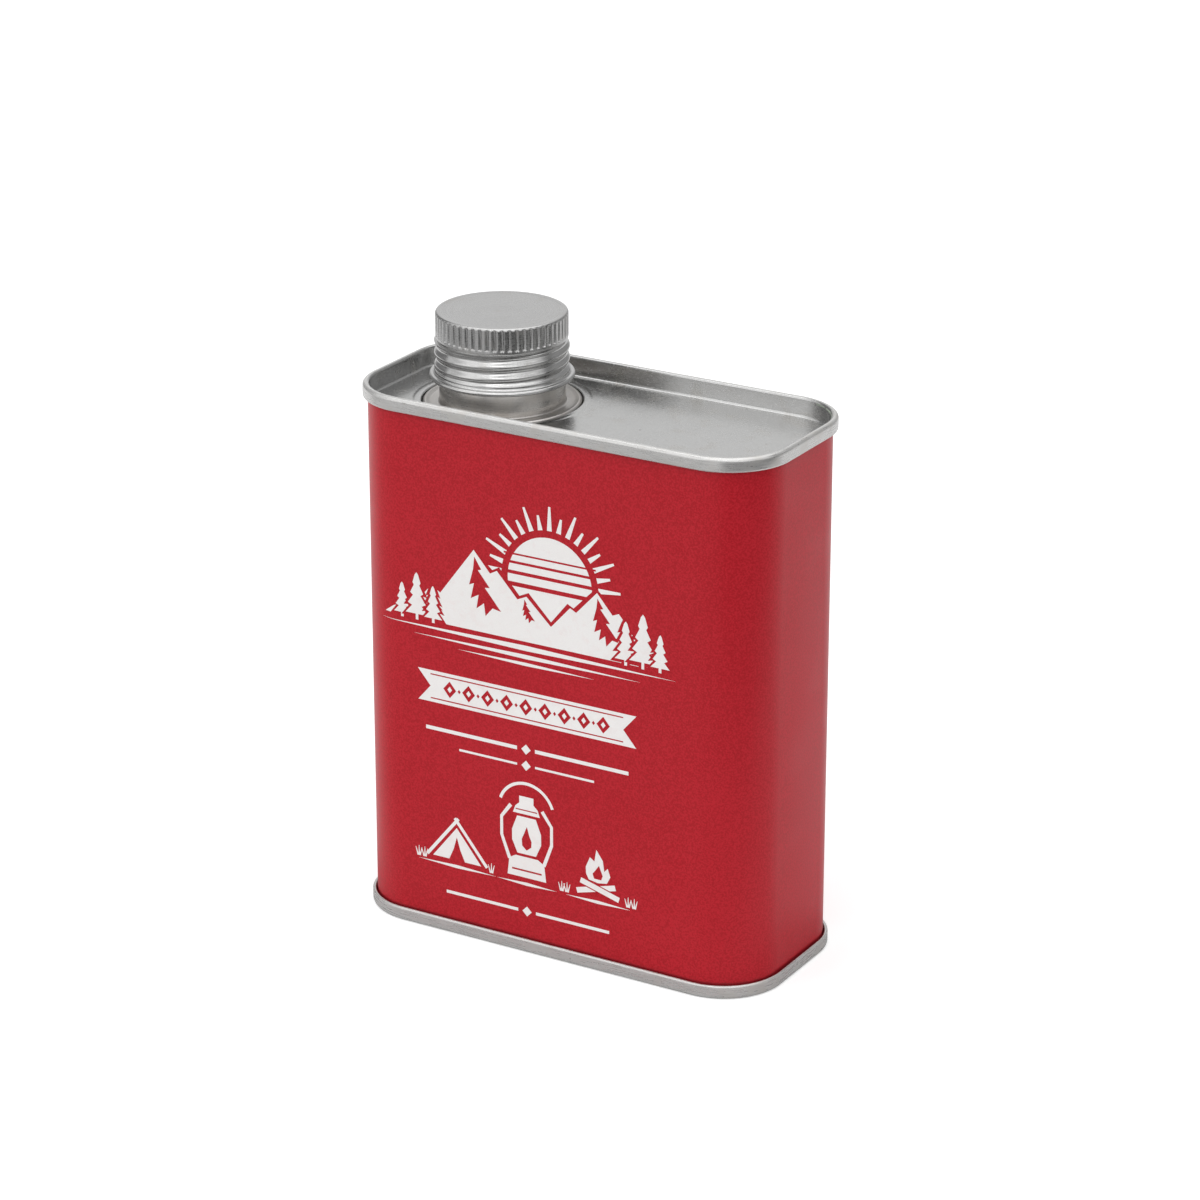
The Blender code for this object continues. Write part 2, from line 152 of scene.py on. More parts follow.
def can_ring(mesh, offset, height, lap=0.0, swell=0.0):
    """A ring round the can at a distance from the body's outer face.

    Swell is the angle, in degrees, at which the narrow walls meet the corners, and the four
    points at the weld stand in by the rise of the lap. The points just beside the corners
    keep the broad walls flat when they are shaded.
    """
    corners = []
    for x, y, start in ((1, -1, -90), (1, 1, 0), (-1, 1, 90), (-1, -1, 180)):
        tight = corner_tightness if (x, y) == (1, 1) else 0.0
        centre = (x * (corner_x + tight), y * (corner_y + tight))
        first = start + (swell if x == y else 0.0)
        last = start + 90 - (swell if x != y else 0.0)
        corners.append(arc(centre, corner_radius + offset - tight, first, last, corner_steps))
    points = []
    for index, corner in enumerate(corners):
        points += corner
        (x0, y0), (x1, y1) = corner[-1], corners[(index + 1) % 4][0]
        length = math.hypot(x1 - x0, y1 - y0)
        places = [(flat_margin, 0.0), (length - flat_margin, 0.0)]
        if index == 0:
            places[1:1] = [(length * share, 0.0) for share in (0.15, 0.3, 0.45, 0.6, 0.75, 0.88)]
        if index == 2:
            middle, ramp_y = length / 2, lap_width / 2 + lap_rise
            places[1:1] = [
                (length * 0.16, 0.0), (length * 0.32, 0.0),
                (middle - ramp_y, 0.0), (middle - lap_width / 2, lap),
                (middle + lap_width / 2, lap), (middle + ramp_y, 0.0),
                (length * 0.68, 0.0), (length * 0.84, 0.0),
            ]
        belly = 0.0 if index % 2 else length / 2 * math.tan(math.radians(swell) / 2)
        for along, inward in places:
            share = along / length
            out = belly * (1 - (2 * share - 1) ** 2) - inward
            x = x0 + (x1 - x0) * share + (y1 - y0) / length * out
            points.append((x, y0 + (y1 - y0) * share - (x1 - x0) / length * out))
    return [mesh.verts.new((x, y, height)) for x, y in points]


def loft(mesh, rings, closed=False):
    """Lay a skin over rings; rings with unlike counts are joined by triangles."""
    pairs = list(zip(rings, rings[1:]))
    if closed:
        pairs.append((rings[-1], rings[0]))
    for ring, other in pairs:
        first, second = 0, 0
        while len(ring) != len(other) and (first < len(ring) or second < len(other)):
            a = ring[first % len(ring)]
            b = other[second % len(other)]
            ring_next = (first + 1) / len(ring) <= (second + 1) / len(other)
            if second == len(other) or (first < len(ring) and ring_next):
                first += 1
                mesh.faces.new((a, ring[first % len(ring)], b))
            else:
                second += 1
                mesh.faces.new((a, other[second % len(other)], b))
        for index in range(len(ring) if len(ring) == len(other) else 0):
            mesh.faces.new((ring[index - 1], ring[index], other[index], other[index - 1]))


def finish_piece(mesh, name, body, materials, node=None, axis_x=0.0):
    """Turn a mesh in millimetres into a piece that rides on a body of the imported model."""
    bmesh.ops.scale(mesh, vec=(MM, MM, MM), verts=mesh.verts)
    data = bpy.data.meshes.new(name)
    mesh.to_mesh(data)
    mesh.free()
    data.shade_smooth()
    data.set_sharp_from_angle(angle=math.radians(sharp_angle))
    for material in materials:
        data.materials.append(material)
    piece = bpy.data.objects.new(name, data)
    piece.location = (axis_x * MM, 0.0, 0.0)
    bpy.context.scene.collection.objects.link(piece)
    if node:
        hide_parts(node)
    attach(piece, body)


def give(tree, socket, value):
    """Give an input another node's output or a plain value."""
    if isinstance(value, bpy.types.NodeSocket):
        tree.links.new(value, socket)
    else:
        socket.default_value = value


def new_node(tree, kind, links=None, **settings):
    """Add a shader node; links says what its inputs are given."""
    made = tree.nodes.new("ShaderNode" + kind)
    for key, value in settings.items():
        setattr(made, key, value)
    for key, value in (links or {}).items():
        give(tree, made.inputs[key], value)
    return made


def math_node(tree, operation, first, second=0.0, third=0.0, clamp=False):
    """One Math node; hands back its output."""
    links = {0: first, 1: second, 2: third}
    return new_node(tree, "Math", links, operation=operation, use_clamp=clamp).outputs[0]


def new_group(name, inputs, outputs):
    """A shader node group with named sockets; hands back its tree, inputs and outputs."""
    tree = bpy.data.node_groups.new(name, "ShaderNodeTree")
    for socket, kind, value in inputs:
        made = tree.interface.new_socket(socket, in_out="INPUT", socket_type="NodeSocket" + kind)
        made.default_value = value
    for socket, kind in outputs:
        tree.interface.new_socket(socket, in_out="OUTPUT", socket_type="NodeSocket" + kind)
    return tree, tree.nodes.new("NodeGroupInput").outputs, tree.nodes.new("NodeGroupOutput").inputs


def place_group(tree, group, **links):
    """Place a node group in a material; words in the socket names are joined by _ here."""
    made = tree.nodes.new("ShaderNodeGroup")
    made.node_tree = group
    for key, value in links.items():
        give(tree, made.inputs[key.replace("_", " ")], value)
    return made.outputs


def make_grain_group():
    """Fine grain from -1 to 1, at a size in millimetres, drawn out where Stretch is small."""
    inputs = (("Vector", "Vector", (0, 0, 0)), ("Size", "Float", 1.0), ("Stretch", "Vector", (1, 1, 1)))
    tree, given, result = new_group("fine grain", inputs, (("Grain", "Float"),))
    drawn = new_node(tree, "VectorMath", {0: given["Vector"], 1: given["Stretch"]}, operation="MULTIPLY")
    density = math_node(tree, "DIVIDE", 1 / MM, given["Size"])
    noise = new_node(tree, "TexNoise", {"Vector": drawn.outputs[0], "Scale": density, "Detail": 2.0})
    spread = new_node(tree, "MapRange", {"Value": noise.outputs[0], 1: 0.25, 2: 0.75, 3: -1.0, 4: 1.0})
    tree.links.new(spread.outputs[0], result["Grain"])
    return tree.id_data


def make_patch_group():
    """Soft-edged patches, such as stains and handling marks; Share is how much they cover."""
    inputs = (
        ("Vector", "Vector", (0, 0, 0)),
        ("Size", "Float", 10.0),
        ("Share", "Float", 0.3),
        ("Softness", "Float", 0.1),
    )
    tree, given, result = new_group("soft patches", inputs, (("Mask", "Float"),))
    density = math_node(tree, "DIVIDE", 1 / MM, given["Size"])
    links = {"Vector": given["Vector"], "Scale": density, "Detail": 5.0, "Roughness": 0.55}
    noise = new_node(tree, "TexNoise", links)
    level = math_node(tree, "MULTIPLY_ADD", given["Share"], -0.5, 0.75)
    low = math_node(tree, "SUBTRACT", level, given["Softness"])
    high = math_node(tree, "ADD", level, given["Softness"])
    links = {"Value": noise.outputs[0], 1: low, 2: high}
    mask = new_node(tree, "MapRange", links, interpolation_type="SMOOTHSTEP")
    tree.links.new(mask.outputs[0], result["Mask"])
    return tree.id_data


def make_speck_group():
    """Small round specks, such as pits and dust; Share is how many cells carry one."""
    inputs = (
        ("Vector", "Vector", (0, 0, 0)),
        ("Spacing", "Float", 4.0),
        ("Share", "Float", 0.3),
        ("Radius", "Float", 0.05),
    )
    tree, given, result = new_group("specks", inputs, (("Mask", "Float"),))
    density = math_node(tree, "DIVIDE", 1 / MM, given["Spacing"])
    cells = new_node(tree, "TexVoronoi", {"Vector": given["Vector"], "Scale": density})
    split = new_node(tree, "SeparateColor", {0: cells.outputs["Color"]})
    chosen = math_node(tree, "LESS_THAN", split.outputs[0], given["Share"])
    reach = math_node(tree, "MULTIPLY_ADD", split.outputs[1], given["Radius"], 0.002)
    near = math_node(tree, "DIVIDE", cells.outputs["Distance"], reach)
    fade = math_node(tree, "SUBTRACT", 1.6, near, clamp=True)
    tree.links.new(math_node(tree, "MULTIPLY", chosen, fade), result["Mask"])
    return tree.id_data


grain_group = make_grain_group()
patch_group = make_patch_group()
speck_group = make_speck_group()


def place_grain(tree, at, size, **more):
    return place_group(tree, grain_group, Vector=at, Size=size, **more)["Grain"]


def place_patches(tree, at, size, share, softness):
    return place_group(tree, patch_group, Vector=at, Size=size, Share=share, Softness=softness)["Mask"]


def place_specks(tree, at, spacing, share, radius):
    return place_group(tree, speck_group, Vector=at, Spacing=spacing, Share=share, Radius=radius)["Mask"]


def new_material(name, **sockets):
    """An empty material with its shader; the sockets given are the same all over."""
    material = bpy.data.materials.new(name)
    material.use_nodes = True
    tree = material.node_tree
    shader = tree.nodes["Principled BSDF"]
    for key, value in sockets.items():
        shader.inputs[key.replace("_", " ")].default_value = value
    coordinates = new_node(tree, "TexCoord").outputs["Object"]
    return material, tree, shader, coordinates


def mixed(tree, share, first, second):
    """A colour between two others; the colours are triples or sockets."""
    made = new_node(tree, "Mix", data_type="RGBA")
    give(tree, made.inputs["Factor"], share)
    for socket, colour in ((6, first), (7, second)):
        give(tree, made.inputs[socket], (*colour, 1.0) if isinstance(colour, tuple) else colour)
    return made.outputs[2]


def weighted_sum(tree, base, *terms):
    """A base value plus each mask times its weight."""
    total = base
    for mask, weight in terms:
        total = math_node(tree, "MULTIPLY_ADD", mask, weight, total)
    return total


def bump(tree, shader, height_in_mm):
    """Feed a height in millimetres to the shader's normal."""
    made = new_node(tree, "Bump", {"Height": height_in_mm, "Distance": MM, "Strength": 1.0})
    tree.links.new(made.outputs[0], shader.inputs["Normal"])


def feed(tree, shader, **values):
    """Link values to the shader's sockets; words in the socket names are joined by _ here."""
    for key, value in values.items():
        tree.links.new(value, shader.inputs[key.replace("_", " ")])


def smooth_mask(tree, value, low, high):
    """0 below low, 1 above high, smooth between; low may be the larger."""
    links = {"Value": value, 1: low, 2: high}
    return new_node(tree, "MapRange", links, interpolation_type="SMOOTHSTEP").outputs[0]


def make_lacquer():
    """Satin red lacquer with a fine grain, a painted shade line along both seams and a bare stripe at the
    weld.
    """
    material, tree, shader, at = new_material("red_lacquer", Specular_IOR_Level=0.26)
    grain = place_grain(tree, at, 0.42)
    orange_peel = place_grain(tree, at, 1.3)
    wave = place_grain(tree, at, 42.0)
    drift = place_grain(tree, at, 26.0)
    handling = place_patches(tree, at, 19.0, 0.34, 0.09)
    specks = place_specks(tree, at, 5.5, 0.10, 0.03)

    tone = weighted_sum(tree, 0.5, (grain, 1.25), (drift, 0.18))
    red = mixed(tree, tone, deep_red, light_red)
    red = mixed(tree, math_node(tree, "MULTIPLY", specks, 0.55), red, speck_red)

    place = new_node(tree, "SeparateXYZ", {0: at})
    # Painted shade: the red darkens in a thin band along the foot of each seam, where the seam shades the
    # wall.
    past_middle = math_node(tree, "SUBTRACT", place.outputs[2], can_height / 2 * MM)
    from_middle = math_node(tree, "ABSOLUTE", past_middle)
    from_middle = math_node(tree, "MULTIPLY_ADD", orange_peel, painted_shade_edge * MM, from_middle)
    seam_line = can_height / 2 - seam_height
    seam_shade = smooth_mask(tree, from_middle, (seam_line - painted_shade_reach) * MM, (seam_line - painted_shade_full) * MM)
    red = mixed(tree, math_node(tree, "MULTIPLY", seam_shade, 0.55), red, painted_shade_red)

    beside_weld = math_node(tree, "ABSOLUTE", place.outputs[1])
    on_narrow_wall = math_node(tree, "LESS_THAN", place.outputs[0], -narrow_wall_from * MM)
    ragged = math_node(tree, "MULTIPLY_ADD", orange_peel, stripe_edge * MM, beside_weld)
    bare = math_node(tree, "LESS_THAN", ragged, bare_stripe / 2 * MM)
    bare = math_node(tree, "MULTIPLY", bare, on_narrow_wall)
    weld = math_node(tree, "LESS_THAN", ragged, weld_line / 2 * MM)
    tin = mixed(tree, weld, stripe_grey, weld_grey)
    tin = mixed(tree, math_node(tree, "MULTIPLY", grain, 0.22, clamp=True), tin, stripe_brown)

    rough = weighted_sum(tree, 0.36, (grain, 0.035), (drift, 0.02), (handling, -0.045), (specks, 0.1))
    feed(tree, shader, Base_Color=mixed(tree, bare, red, tin), Metallic=bare, Roughness=rough)
    height = weighted_sum(
        tree, 0.0, (grain, 0.0016), (orange_peel, 0.0022), (wave, 0.12), (specks, 0.012), (bare, -0.01)
    )
    bump(tree, shader, height)
    return material


def make_tin(
    name, colour, roughness, turned=False, line_size=0.16, stretch=(0.22, 1.0, 0.5), grain=1.0,
    stains=0.3, pit_spacing=3.2, pit_size=0.07, bare=1.0, drawn=0.0,
):
    """Bare satin tinplate. Flat sheet keeps the lines of the rolling mill, drawn out where
    stretch is small, and turned pieces have them round their axis. All have faint stains,
    pits and dull patches. Grain is how much of the tin's own grain is left, bare falls under
    1 where a film of dirt covers the metal, and drawn is how far the tool's marks round the
    piece spread its shine.
    """
    material, tree, shader, at = new_material(name, Anisotropic=drawn)
    lines_at = at
    if turned:
        place = new_node(tree, "SeparateXYZ", {0: at})
        flat = new_node(tree, "CombineXYZ", {0: place.outputs[0], 1: place.outputs[1]})
        reach = new_node(tree, "VectorMath", {0: flat.outputs[0]}, operation="LENGTH").outputs["Value"]
        round_x = math_node(tree, "MULTIPLY_ADD", place.outputs[0], 0.02, reach)
        round_z = math_node(tree, "MULTIPLY_ADD", place.outputs[1], 0.02, place.outputs[2])
        lines_at = new_node(tree, "CombineXYZ", {0: round_x, 1: 0.0, 2: round_z}).outputs[0]
        stretch = (1.0, 1.0, 1.0)
    lines = place_grain(tree, lines_at, line_size, Stretch=stretch)
    crystal = place_grain(tree, at, 0.19)
    wave = place_grain(tree, at, 17.0)
    cloud = place_grain(tree, at, 6.0)
    stain = place_patches(tree, at, 5.5, stains, 0.07)
    dull = place_patches(tree, at, 11.0, 0.42, 0.12)
    pits = place_specks(tree, at, pit_spacing, 0.22, pit_size)

    dark = tuple(value * 0.80 for value in colour)
    light = tuple(min(value * 1.10, 1.0) for value in colour)
    warm = (colour[0] * 0.80, colour[1] * 0.74, colour[2] * 0.66)
    tone = weighted_sum(tree, 0.60, (lines, 0.26), (crystal, 0.55 * grain), (cloud, 0.05))
    shade = mixed(tree, tone, dark, light)
    shade = mixed(tree, math_node(tree, "MULTIPLY", stain, 0.22), shade, warm)
    shade = mixed(tree, math_node(tree, "MULTIPLY", pits, 0.7), shade, pit_brown)
    metal = weighted_sum(tree, bare, (pits, -0.5), (stain, -0.06))
    rough = weighted_sum(tree, roughness, (lines, 0.05), (crystal, 0.03 * grain), (dull, 0.025))
    rough = weighted_sum(tree, rough, (pits, 0.2), (stain, 0.03))
    feed(tree, shader, Base_Color=shade, Metallic=metal, Roughness=rough)
    height = weighted_sum(tree, 0.0, (lines, 0.0003), (crystal, 0.0002 * grain), (cloud, 0.0016))
    bump(tree, shader, weighted_sum(tree, height, (wave, 0.02), (pits, -0.015)))
    return material


def body_section():
    """Middle line of the body sheet, from its upper hook down the wall to its lower hook."""
    turn = flange_middle - hook_radius
    upper = [(body_hook, body_hook_end)]
    upper += arc((body_hook - hook_radius, turn), hook_radius, 0, 90, 5)
    upper += arc((body_wall + hook_radius, turn), hook_radius, 90, 180, 5)
    upper.append((body_wall, turn - 1.0))
    wall = [(body_wall, height) for height in (120.0, 110.0, 98.0, 84.0, 65.0, 44.0, 26.0, 13.0, 7.0)]
    return upper + wall + list(reversed(turned_over(upper)))


def wall_swell(height):
    """The narrow walls are flat at the seams and belly out between them, less at the top."""
    below = ramp((height - belly_start) / belly_rise)
    return wall_belly * below * ramp((can_height - belly_end - height) / belly_fall)


def facing_out(face):
    """How far out from the can's middle a face looks, in millimetres; under 0 it looks in."""
    middle = face.calc_center_median()
    return face.normal.x * middle.x + face.normal.y * middle.y


red_lacquer = make_lacquer()
bright_tin = make_tin("satin_tinplate", tin_grey, 0.22)

body_mesh = bmesh.new()
outer_face, inner_face = sheet_faces(body_section(), tinplate)
body_rings = []
for offset, height in outer_face:
    body_rings.append(can_ring(body_mesh, offset, height, swell=wall_swell(height)))
for offset, height in inner_face[::-1]:
    rise = lap_rise if lap_ends < height < can_height - lap_ends else 0.0
    body_rings.append(can_ring(body_mesh, offset, height, lap=rise, swell=wall_swell(height)))
loft(body_mesh, body_rings, closed=True)
bmesh.ops.recalc_face_normals(body_mesh, faces=body_mesh.faces)
for face in body_mesh.faces:
    face.material_index = 1 if facing_out(face) < 0 else 0
finish_piece(body_mesh, "body_sheet", "can", (red_lacquer, bright_tin), "body_shell")


# Front print. White ink screened onto the lacquer of the broad front wall: a mountain
# sunrise over water, a swallow-tailed band of diamonds, rules, and a camp with a lantern.
# The motifs are plain camping ones, laid on in one pass as a film that stands just proud.
print_middle = -5.0
sunrise_base = 77.0
band_middle = 61.0
camp_base = 18.5
ink_proud = 0.035
ink_depth = 0.004
bend_cuts = 5
bend_step = 1.2

print_shapes = []


def draw(points, inked=True):
    """Add a closed outline to the print; a later one covers what lies under it."""
    area = sum(x0 * y1 - x1 * y0 for (x0, y0), (x1, y1) in zip(points, points[1:] + points[:1]))
    print_shapes.append((points if area > 0 else points[::-1], inked))


def moved(points, x, y, size=1.0):
    """An outline scaled and moved to its place."""
    return [(x + px * size, y + py * size) for px, py in points]


def stroke(points, widths, inked=True):
    """A pen stroke along points, with its width at each of them."""
    left, right = [], []
    for index, (x, y) in enumerate(points):
        x0, y0 = points[max(index - 1, 0)]
        x1, y1 = points[min(index + 1, len(points) - 1)]
        length = math.hypot(x1 - x0, y1 - y0)
        half = widths[index] / 2
        left.append((x - (y1 - y0) / length * half, y + (x1 - x0) / length * half))
        right.append((x + (y1 - y0) / length * half, y - (x1 - x0) / length * half))
    draw(left + right[::-1], inked)


def disc(x, y, radius, inked=True, steps=56):
    draw(arc((x, y), radius, 0, 360 - 360 / steps, steps - 1), inked)


def diamond(x, y, half_width, half_height, inked=True):
    draw([(x + half_width, y), (x, y + half_height), (x - half_width, y), (x, y - half_height)], inked)


def bar(x0, y0, x1, y1, inked=True):
    draw([(x0, y0), (x1, y0), (x1, y1), (x0, y1)], inked)


def tapered_rule(x, y, half_length, height, inked=True):
    """A rule that thins out to both its ends."""
    draw([(x - half_length, y), (x, y - height / 2), (x + half_length, y), (x, y + height / 2)], inked)


def pine(x, base, height, inked=True, grow=0.0):
    """A pine of four tiers on a short trunk; grow widens it all round for a bare edge."""
    tiers = 4
    right = [(x + 0.35 + grow, base - grow), (x + 0.35 + grow, base + height * 0.12 - grow)]
    for tier in range(tiers):
        foot = base + height * (0.12 + 0.22 * tier)
        half = height * 0.27 * (1 - tier / (tiers + 0.6))
        right.append((x + half + grow * 1.6, foot - grow))
        right.append((x + half * 0.42 + grow, foot + height * 0.17))
    left = [(2 * x - px, py) for px, py in reversed(right)]
    draw(right + [(x, base + height + 2.2 * grow)] + left, inked)


def draw_sunrise(base):
    """A rayed sun behind a range of peaks, over three ripples."""
    sun_x, sun_y, sun_radius = 6.5, base + 15.0, 11.0
    disc(sun_x, sun_y, sun_radius)
    for ray in range(17):
        angle = math.radians(4 + 172 * ray / 16)
        far = sun_radius + (7.4 if ray % 2 == 0 else 5.2)
        near = sun_radius + 1.7
        across = (math.cos(angle), math.sin(angle))
        ends = [(sun_x + reach * across[0], sun_y + reach * across[1]) for reach in (near, far)]
        stroke(ends, (1.25, 0.55))
    for level, height in ((5.6, 0.45), (3.6, 0.65), (1.2, 0.85), (-1.6, 1.05)):
        bar(sun_x - 12, sun_y + level - height / 2, sun_x + 12, sun_y + level + height / 2, False)
    ridge = [
        (-38, 0.0), (-31.5, 4.6), (-29.3, 3.9), (-25.0, 8.8), (-22.6, 7.4), (-13.5, 19.5), (-9.2, 14.6),
        (-7.4, 15.6), (-2.0, 9.8), (0.4, 10.9), (6.8, 4.9), (11.8, 10.4), (13.4, 9.6), (18.8, 15.4),
        (22.8, 10.8), (24.4, 11.5), (30.0, 5.2), (32.2, 5.9), (38, 0.0),
    ]
    ridge = moved(ridge, 0.0, base)
    stroke(ridge, [2.3] * len(ridge), False)
    draw(ridge)
    flank = [
        (0.15, -1.6), (2.0, -4.4), (1.1, -4.7), (4.2, -8.4), (2.9, -8.6), (7.2, -13.6), (4.9, -13.2),
        (3.0, -15.4), (2.6, -12.4), (0.6, -14.0), (1.2, -10.6), (-0.9, -11.8), (0.0, -8.0), (-1.3, -8.6),
        (-0.2, -4.6),
    ]
    for x, height, size in ((-13.5, 19.5, 1.0), (18.8, 15.4, 0.80), (-25.0, 8.8, 0.42), (-0.2, 10.8, 0.4)):
        draw(moved(flank, x, base + height, size), False)
    for x, height in ((-33.0, 8.5), (-29.0, 11.5), (-24.6, 9.0), (26.2, 10.5), (30.6, 13.0), (35.0, 9.0)):
        pine(x, base - 0.4, height, False, grow=0.75)
        pine(x, base - 0.4, height)
    for level, half, height in ((-1.6, 39.0, 1.3), (-3.7, 30.0, 1.05), (-5.5, 18.0, 0.8)):
        tapered_rule(0.0, base + level, half, height)


def draw_band(middle):
    """A swallow-tailed band with bare edge lines and a row of bare diamonds."""
    half, rise = 29.0, 3.9
    draw([
        (-half, middle - rise), (half, middle - rise), (half - 3.4, middle), (half, middle + rise),
        (-half, middle + rise), (-half + 3.4, middle),
    ])
    for side in (-1, 1):
        bar(-half + 3.4, middle + side * 2.95 - 0.16, half - 3.4, middle + side * 2.95 + 0.16, False)
    for place in range(-4, 5):
        diamond(place * 5.1, middle, 1.75, 2.05, False)
        diamond(place * 5.1, middle, 0.62, 0.78)
    for place in range(-4, 4):
        diamond((place + 0.5) * 5.1, middle, 0.42, 0.55, False)


def draw_rule(x, y, half, height):
    """A rule broken by a diamond."""
    bar(x - half, y - height / 2, x - 2.4, y + height / 2)
    bar(x + 2.4, y - height / 2, x + half, y + height / 2)
    diamond(x, y, 1.25, 1.25)


def draw_lantern(x, base):
    """A storm lantern: tank, cage with a flame in the glass, cowl and bail."""
    stroke(arc((x, base + 16.2), 7.4, 20, 160, 24), [0.75] * 25)
    tank = [(-5.2, 0.0), (5.2, 0.0), (4.7, 4.2), (3.0, 5.2), (-3.0, 5.2), (-4.7, 4.2)]
    draw(moved(tank, x, base))
    bar(x - 4.0, base + 1.5, x + 4.0, base + 1.95, False)
    for side in (-1, 1):
        tube = [(side * 4.6, 4.0), (side * 6.7, 9.6), (side * 6.7, 14.2), (side * 4.2, 17.6)]
        stroke(moved(tube, x, base), [0.9, 0.8, 0.8, 0.9])
    glass = [
        (-2.5, 5.9), (2.5, 5.9), (3.9, 9.0), (3.9, 11.6),
        (2.5, 15.2), (-2.5, 15.2), (-3.9, 11.6), (-3.9, 9.0),
    ]
    draw(moved(glass, x, base))
    flame = [
        (0.0, 6.9), (1.25, 7.9), (1.35, 9.3), (0.7, 10.8),
        (0.1, 12.9), (-0.6, 11.2), (-1.3, 9.6), (-1.2, 7.9),
    ]
    draw(moved(flame, x, base), False)
    cowl = [
        (-3.6, 15.9), (3.6, 15.9), (3.0, 17.6), (1.9, 18.6),
        (1.9, 20.3), (-1.9, 20.3), (-1.9, 18.6), (-3.0, 17.6),
    ]
    draw(moved(cowl, x, base))
    bar(x - 2.9, base + 16.75, x + 2.9, base + 17.05, False)


def draw_tent(x, base):
    """A ridge tent with its door tied back."""
    stroke([(x - 8.2, base), (x + 0.5, base + 10.6)], [0.8, 0.8])
    stroke([(x + 8.2, base), (x - 0.5, base + 10.6)], [0.8, 0.8])
    draw([(x - 6.6, base), (x + 6.6, base), (x, base + 8.2)])
    door = [(-2.2, -0.1), (2.2, -0.1), (0.9, 2.8), (0.0, 5.9), (-0.9, 2.8)]
    draw(moved(door, x, base), False)


def draw_campfire(x, base):
    """Crossed logs under a flame."""
    stroke([(x - 5.6, base + 0.2), (x + 4.6, base + 3.0)], [1.35, 1.35])
    stroke([(x - 4.6, base + 3.0), (x + 5.6, base + 0.2)], [1.95, 1.95], False)
    stroke([(x - 4.6, base + 3.0), (x + 5.6, base + 0.2)], [1.35, 1.35])
    outer = [
        (-2.4, 3.6), (0.0, 3.2), (2.4, 3.6), (3.3, 5.4), (2.6, 7.4), (1.7, 6.4), (1.3, 9.0), (-0.4, 11.4),
        (-0.9, 8.4), (-2.1, 9.2), (-3.2, 6.6), (-3.1, 4.9),
    ]
    draw(moved(outer, x, base))
    inner = [(-1.0, 4.1), (0.9, 4.1), (1.3, 5.2), (0.3, 7.6), (-0.6, 6.3), (-1.4, 5.3)]
    draw(moved(inner, x, base), False)


def draw_camp(base):
    """A lantern between a tent and a campfire, with tufts of grass under them."""
    draw_lantern(0.0, base)
    draw_tent(-19.0, base)
    draw_campfire(19.0, base)
    for x, half in ((-19.0, 10.6), (0.0, 8.0), (19.0, 8.5)):
        tapered_rule(x, base - 1.6, half, 0.8)
    for x in (-29.5, -27.9, -9.6, 9.4, 10.8, 27.0, 28.6):
        for lean in (-0.9, 0.0, 0.8):
            stroke([(x + lean * 0.3, base - 1.0), (x + lean, base + 1.5 - abs(lean) * 0.5)], [0.42, 0.12])


draw_sunrise(sunrise_base)
draw_band(band_middle)
draw_rule(0.0, 50.6, 27.0, 0.9)
draw_rule(0.0, 46.6, 18.0, 0.55)
draw_camp(camp_base)
draw_rule(0.0, 10.0, 22.0, 0.75)


def on_front(u, height, proud):
    """A point of the print: u runs along the wall from the middle of the front face."""
    past = max(abs(u) - corner_x, 0.0)
    side = 1 if u > 0 else -1
    angle = past / corner_radius
    reach = corner_radius + proud
    if past == 0.0:
        return (u, -(corner_y + reach), height)
    return (side * (corner_x + reach * math.sin(angle)), -(corner_y + reach * math.cos(angle)), height)


def make_ink():
    """White screen ink, a little thin in places, with the weave of the screen."""
    material, tree, shader, at = new_material("white_screen_ink", Specular_IOR_Level=0.35)
    grain = place_grain(tree, at, 0.28)
    drift = place_grain(tree, at, 18.0)
    thin = place_patches(tree, at, 2.2, 0.30, 0.08)
    pinholes = place_specks(tree, at, 2.4, 0.16, 0.05)
    tone = weighted_sum(tree, 0.6, (grain, 0.25), (drift, 0.2))
    white = mixed(tree, tone, (0.84, 0.815, 0.80), (0.91, 0.90, 0.89))
    white = mixed(tree, math_node(tree, "MULTIPLY", thin, 0.07), white, (0.75, 0.36, 0.35))
    white = mixed(tree, math_node(tree, "MULTIPLY", pinholes, 0.4), white, (0.55, 0.12, 0.13))
    rough = weighted_sum(tree, 0.42, (grain, 0.05), (thin, 0.06))
    feed(tree, shader, Base_Color=white, Roughness=rough)
    bump(tree, shader, weighted_sum(tree, 0.0, (grain, 0.0018), (pinholes, -0.006)))
    return material


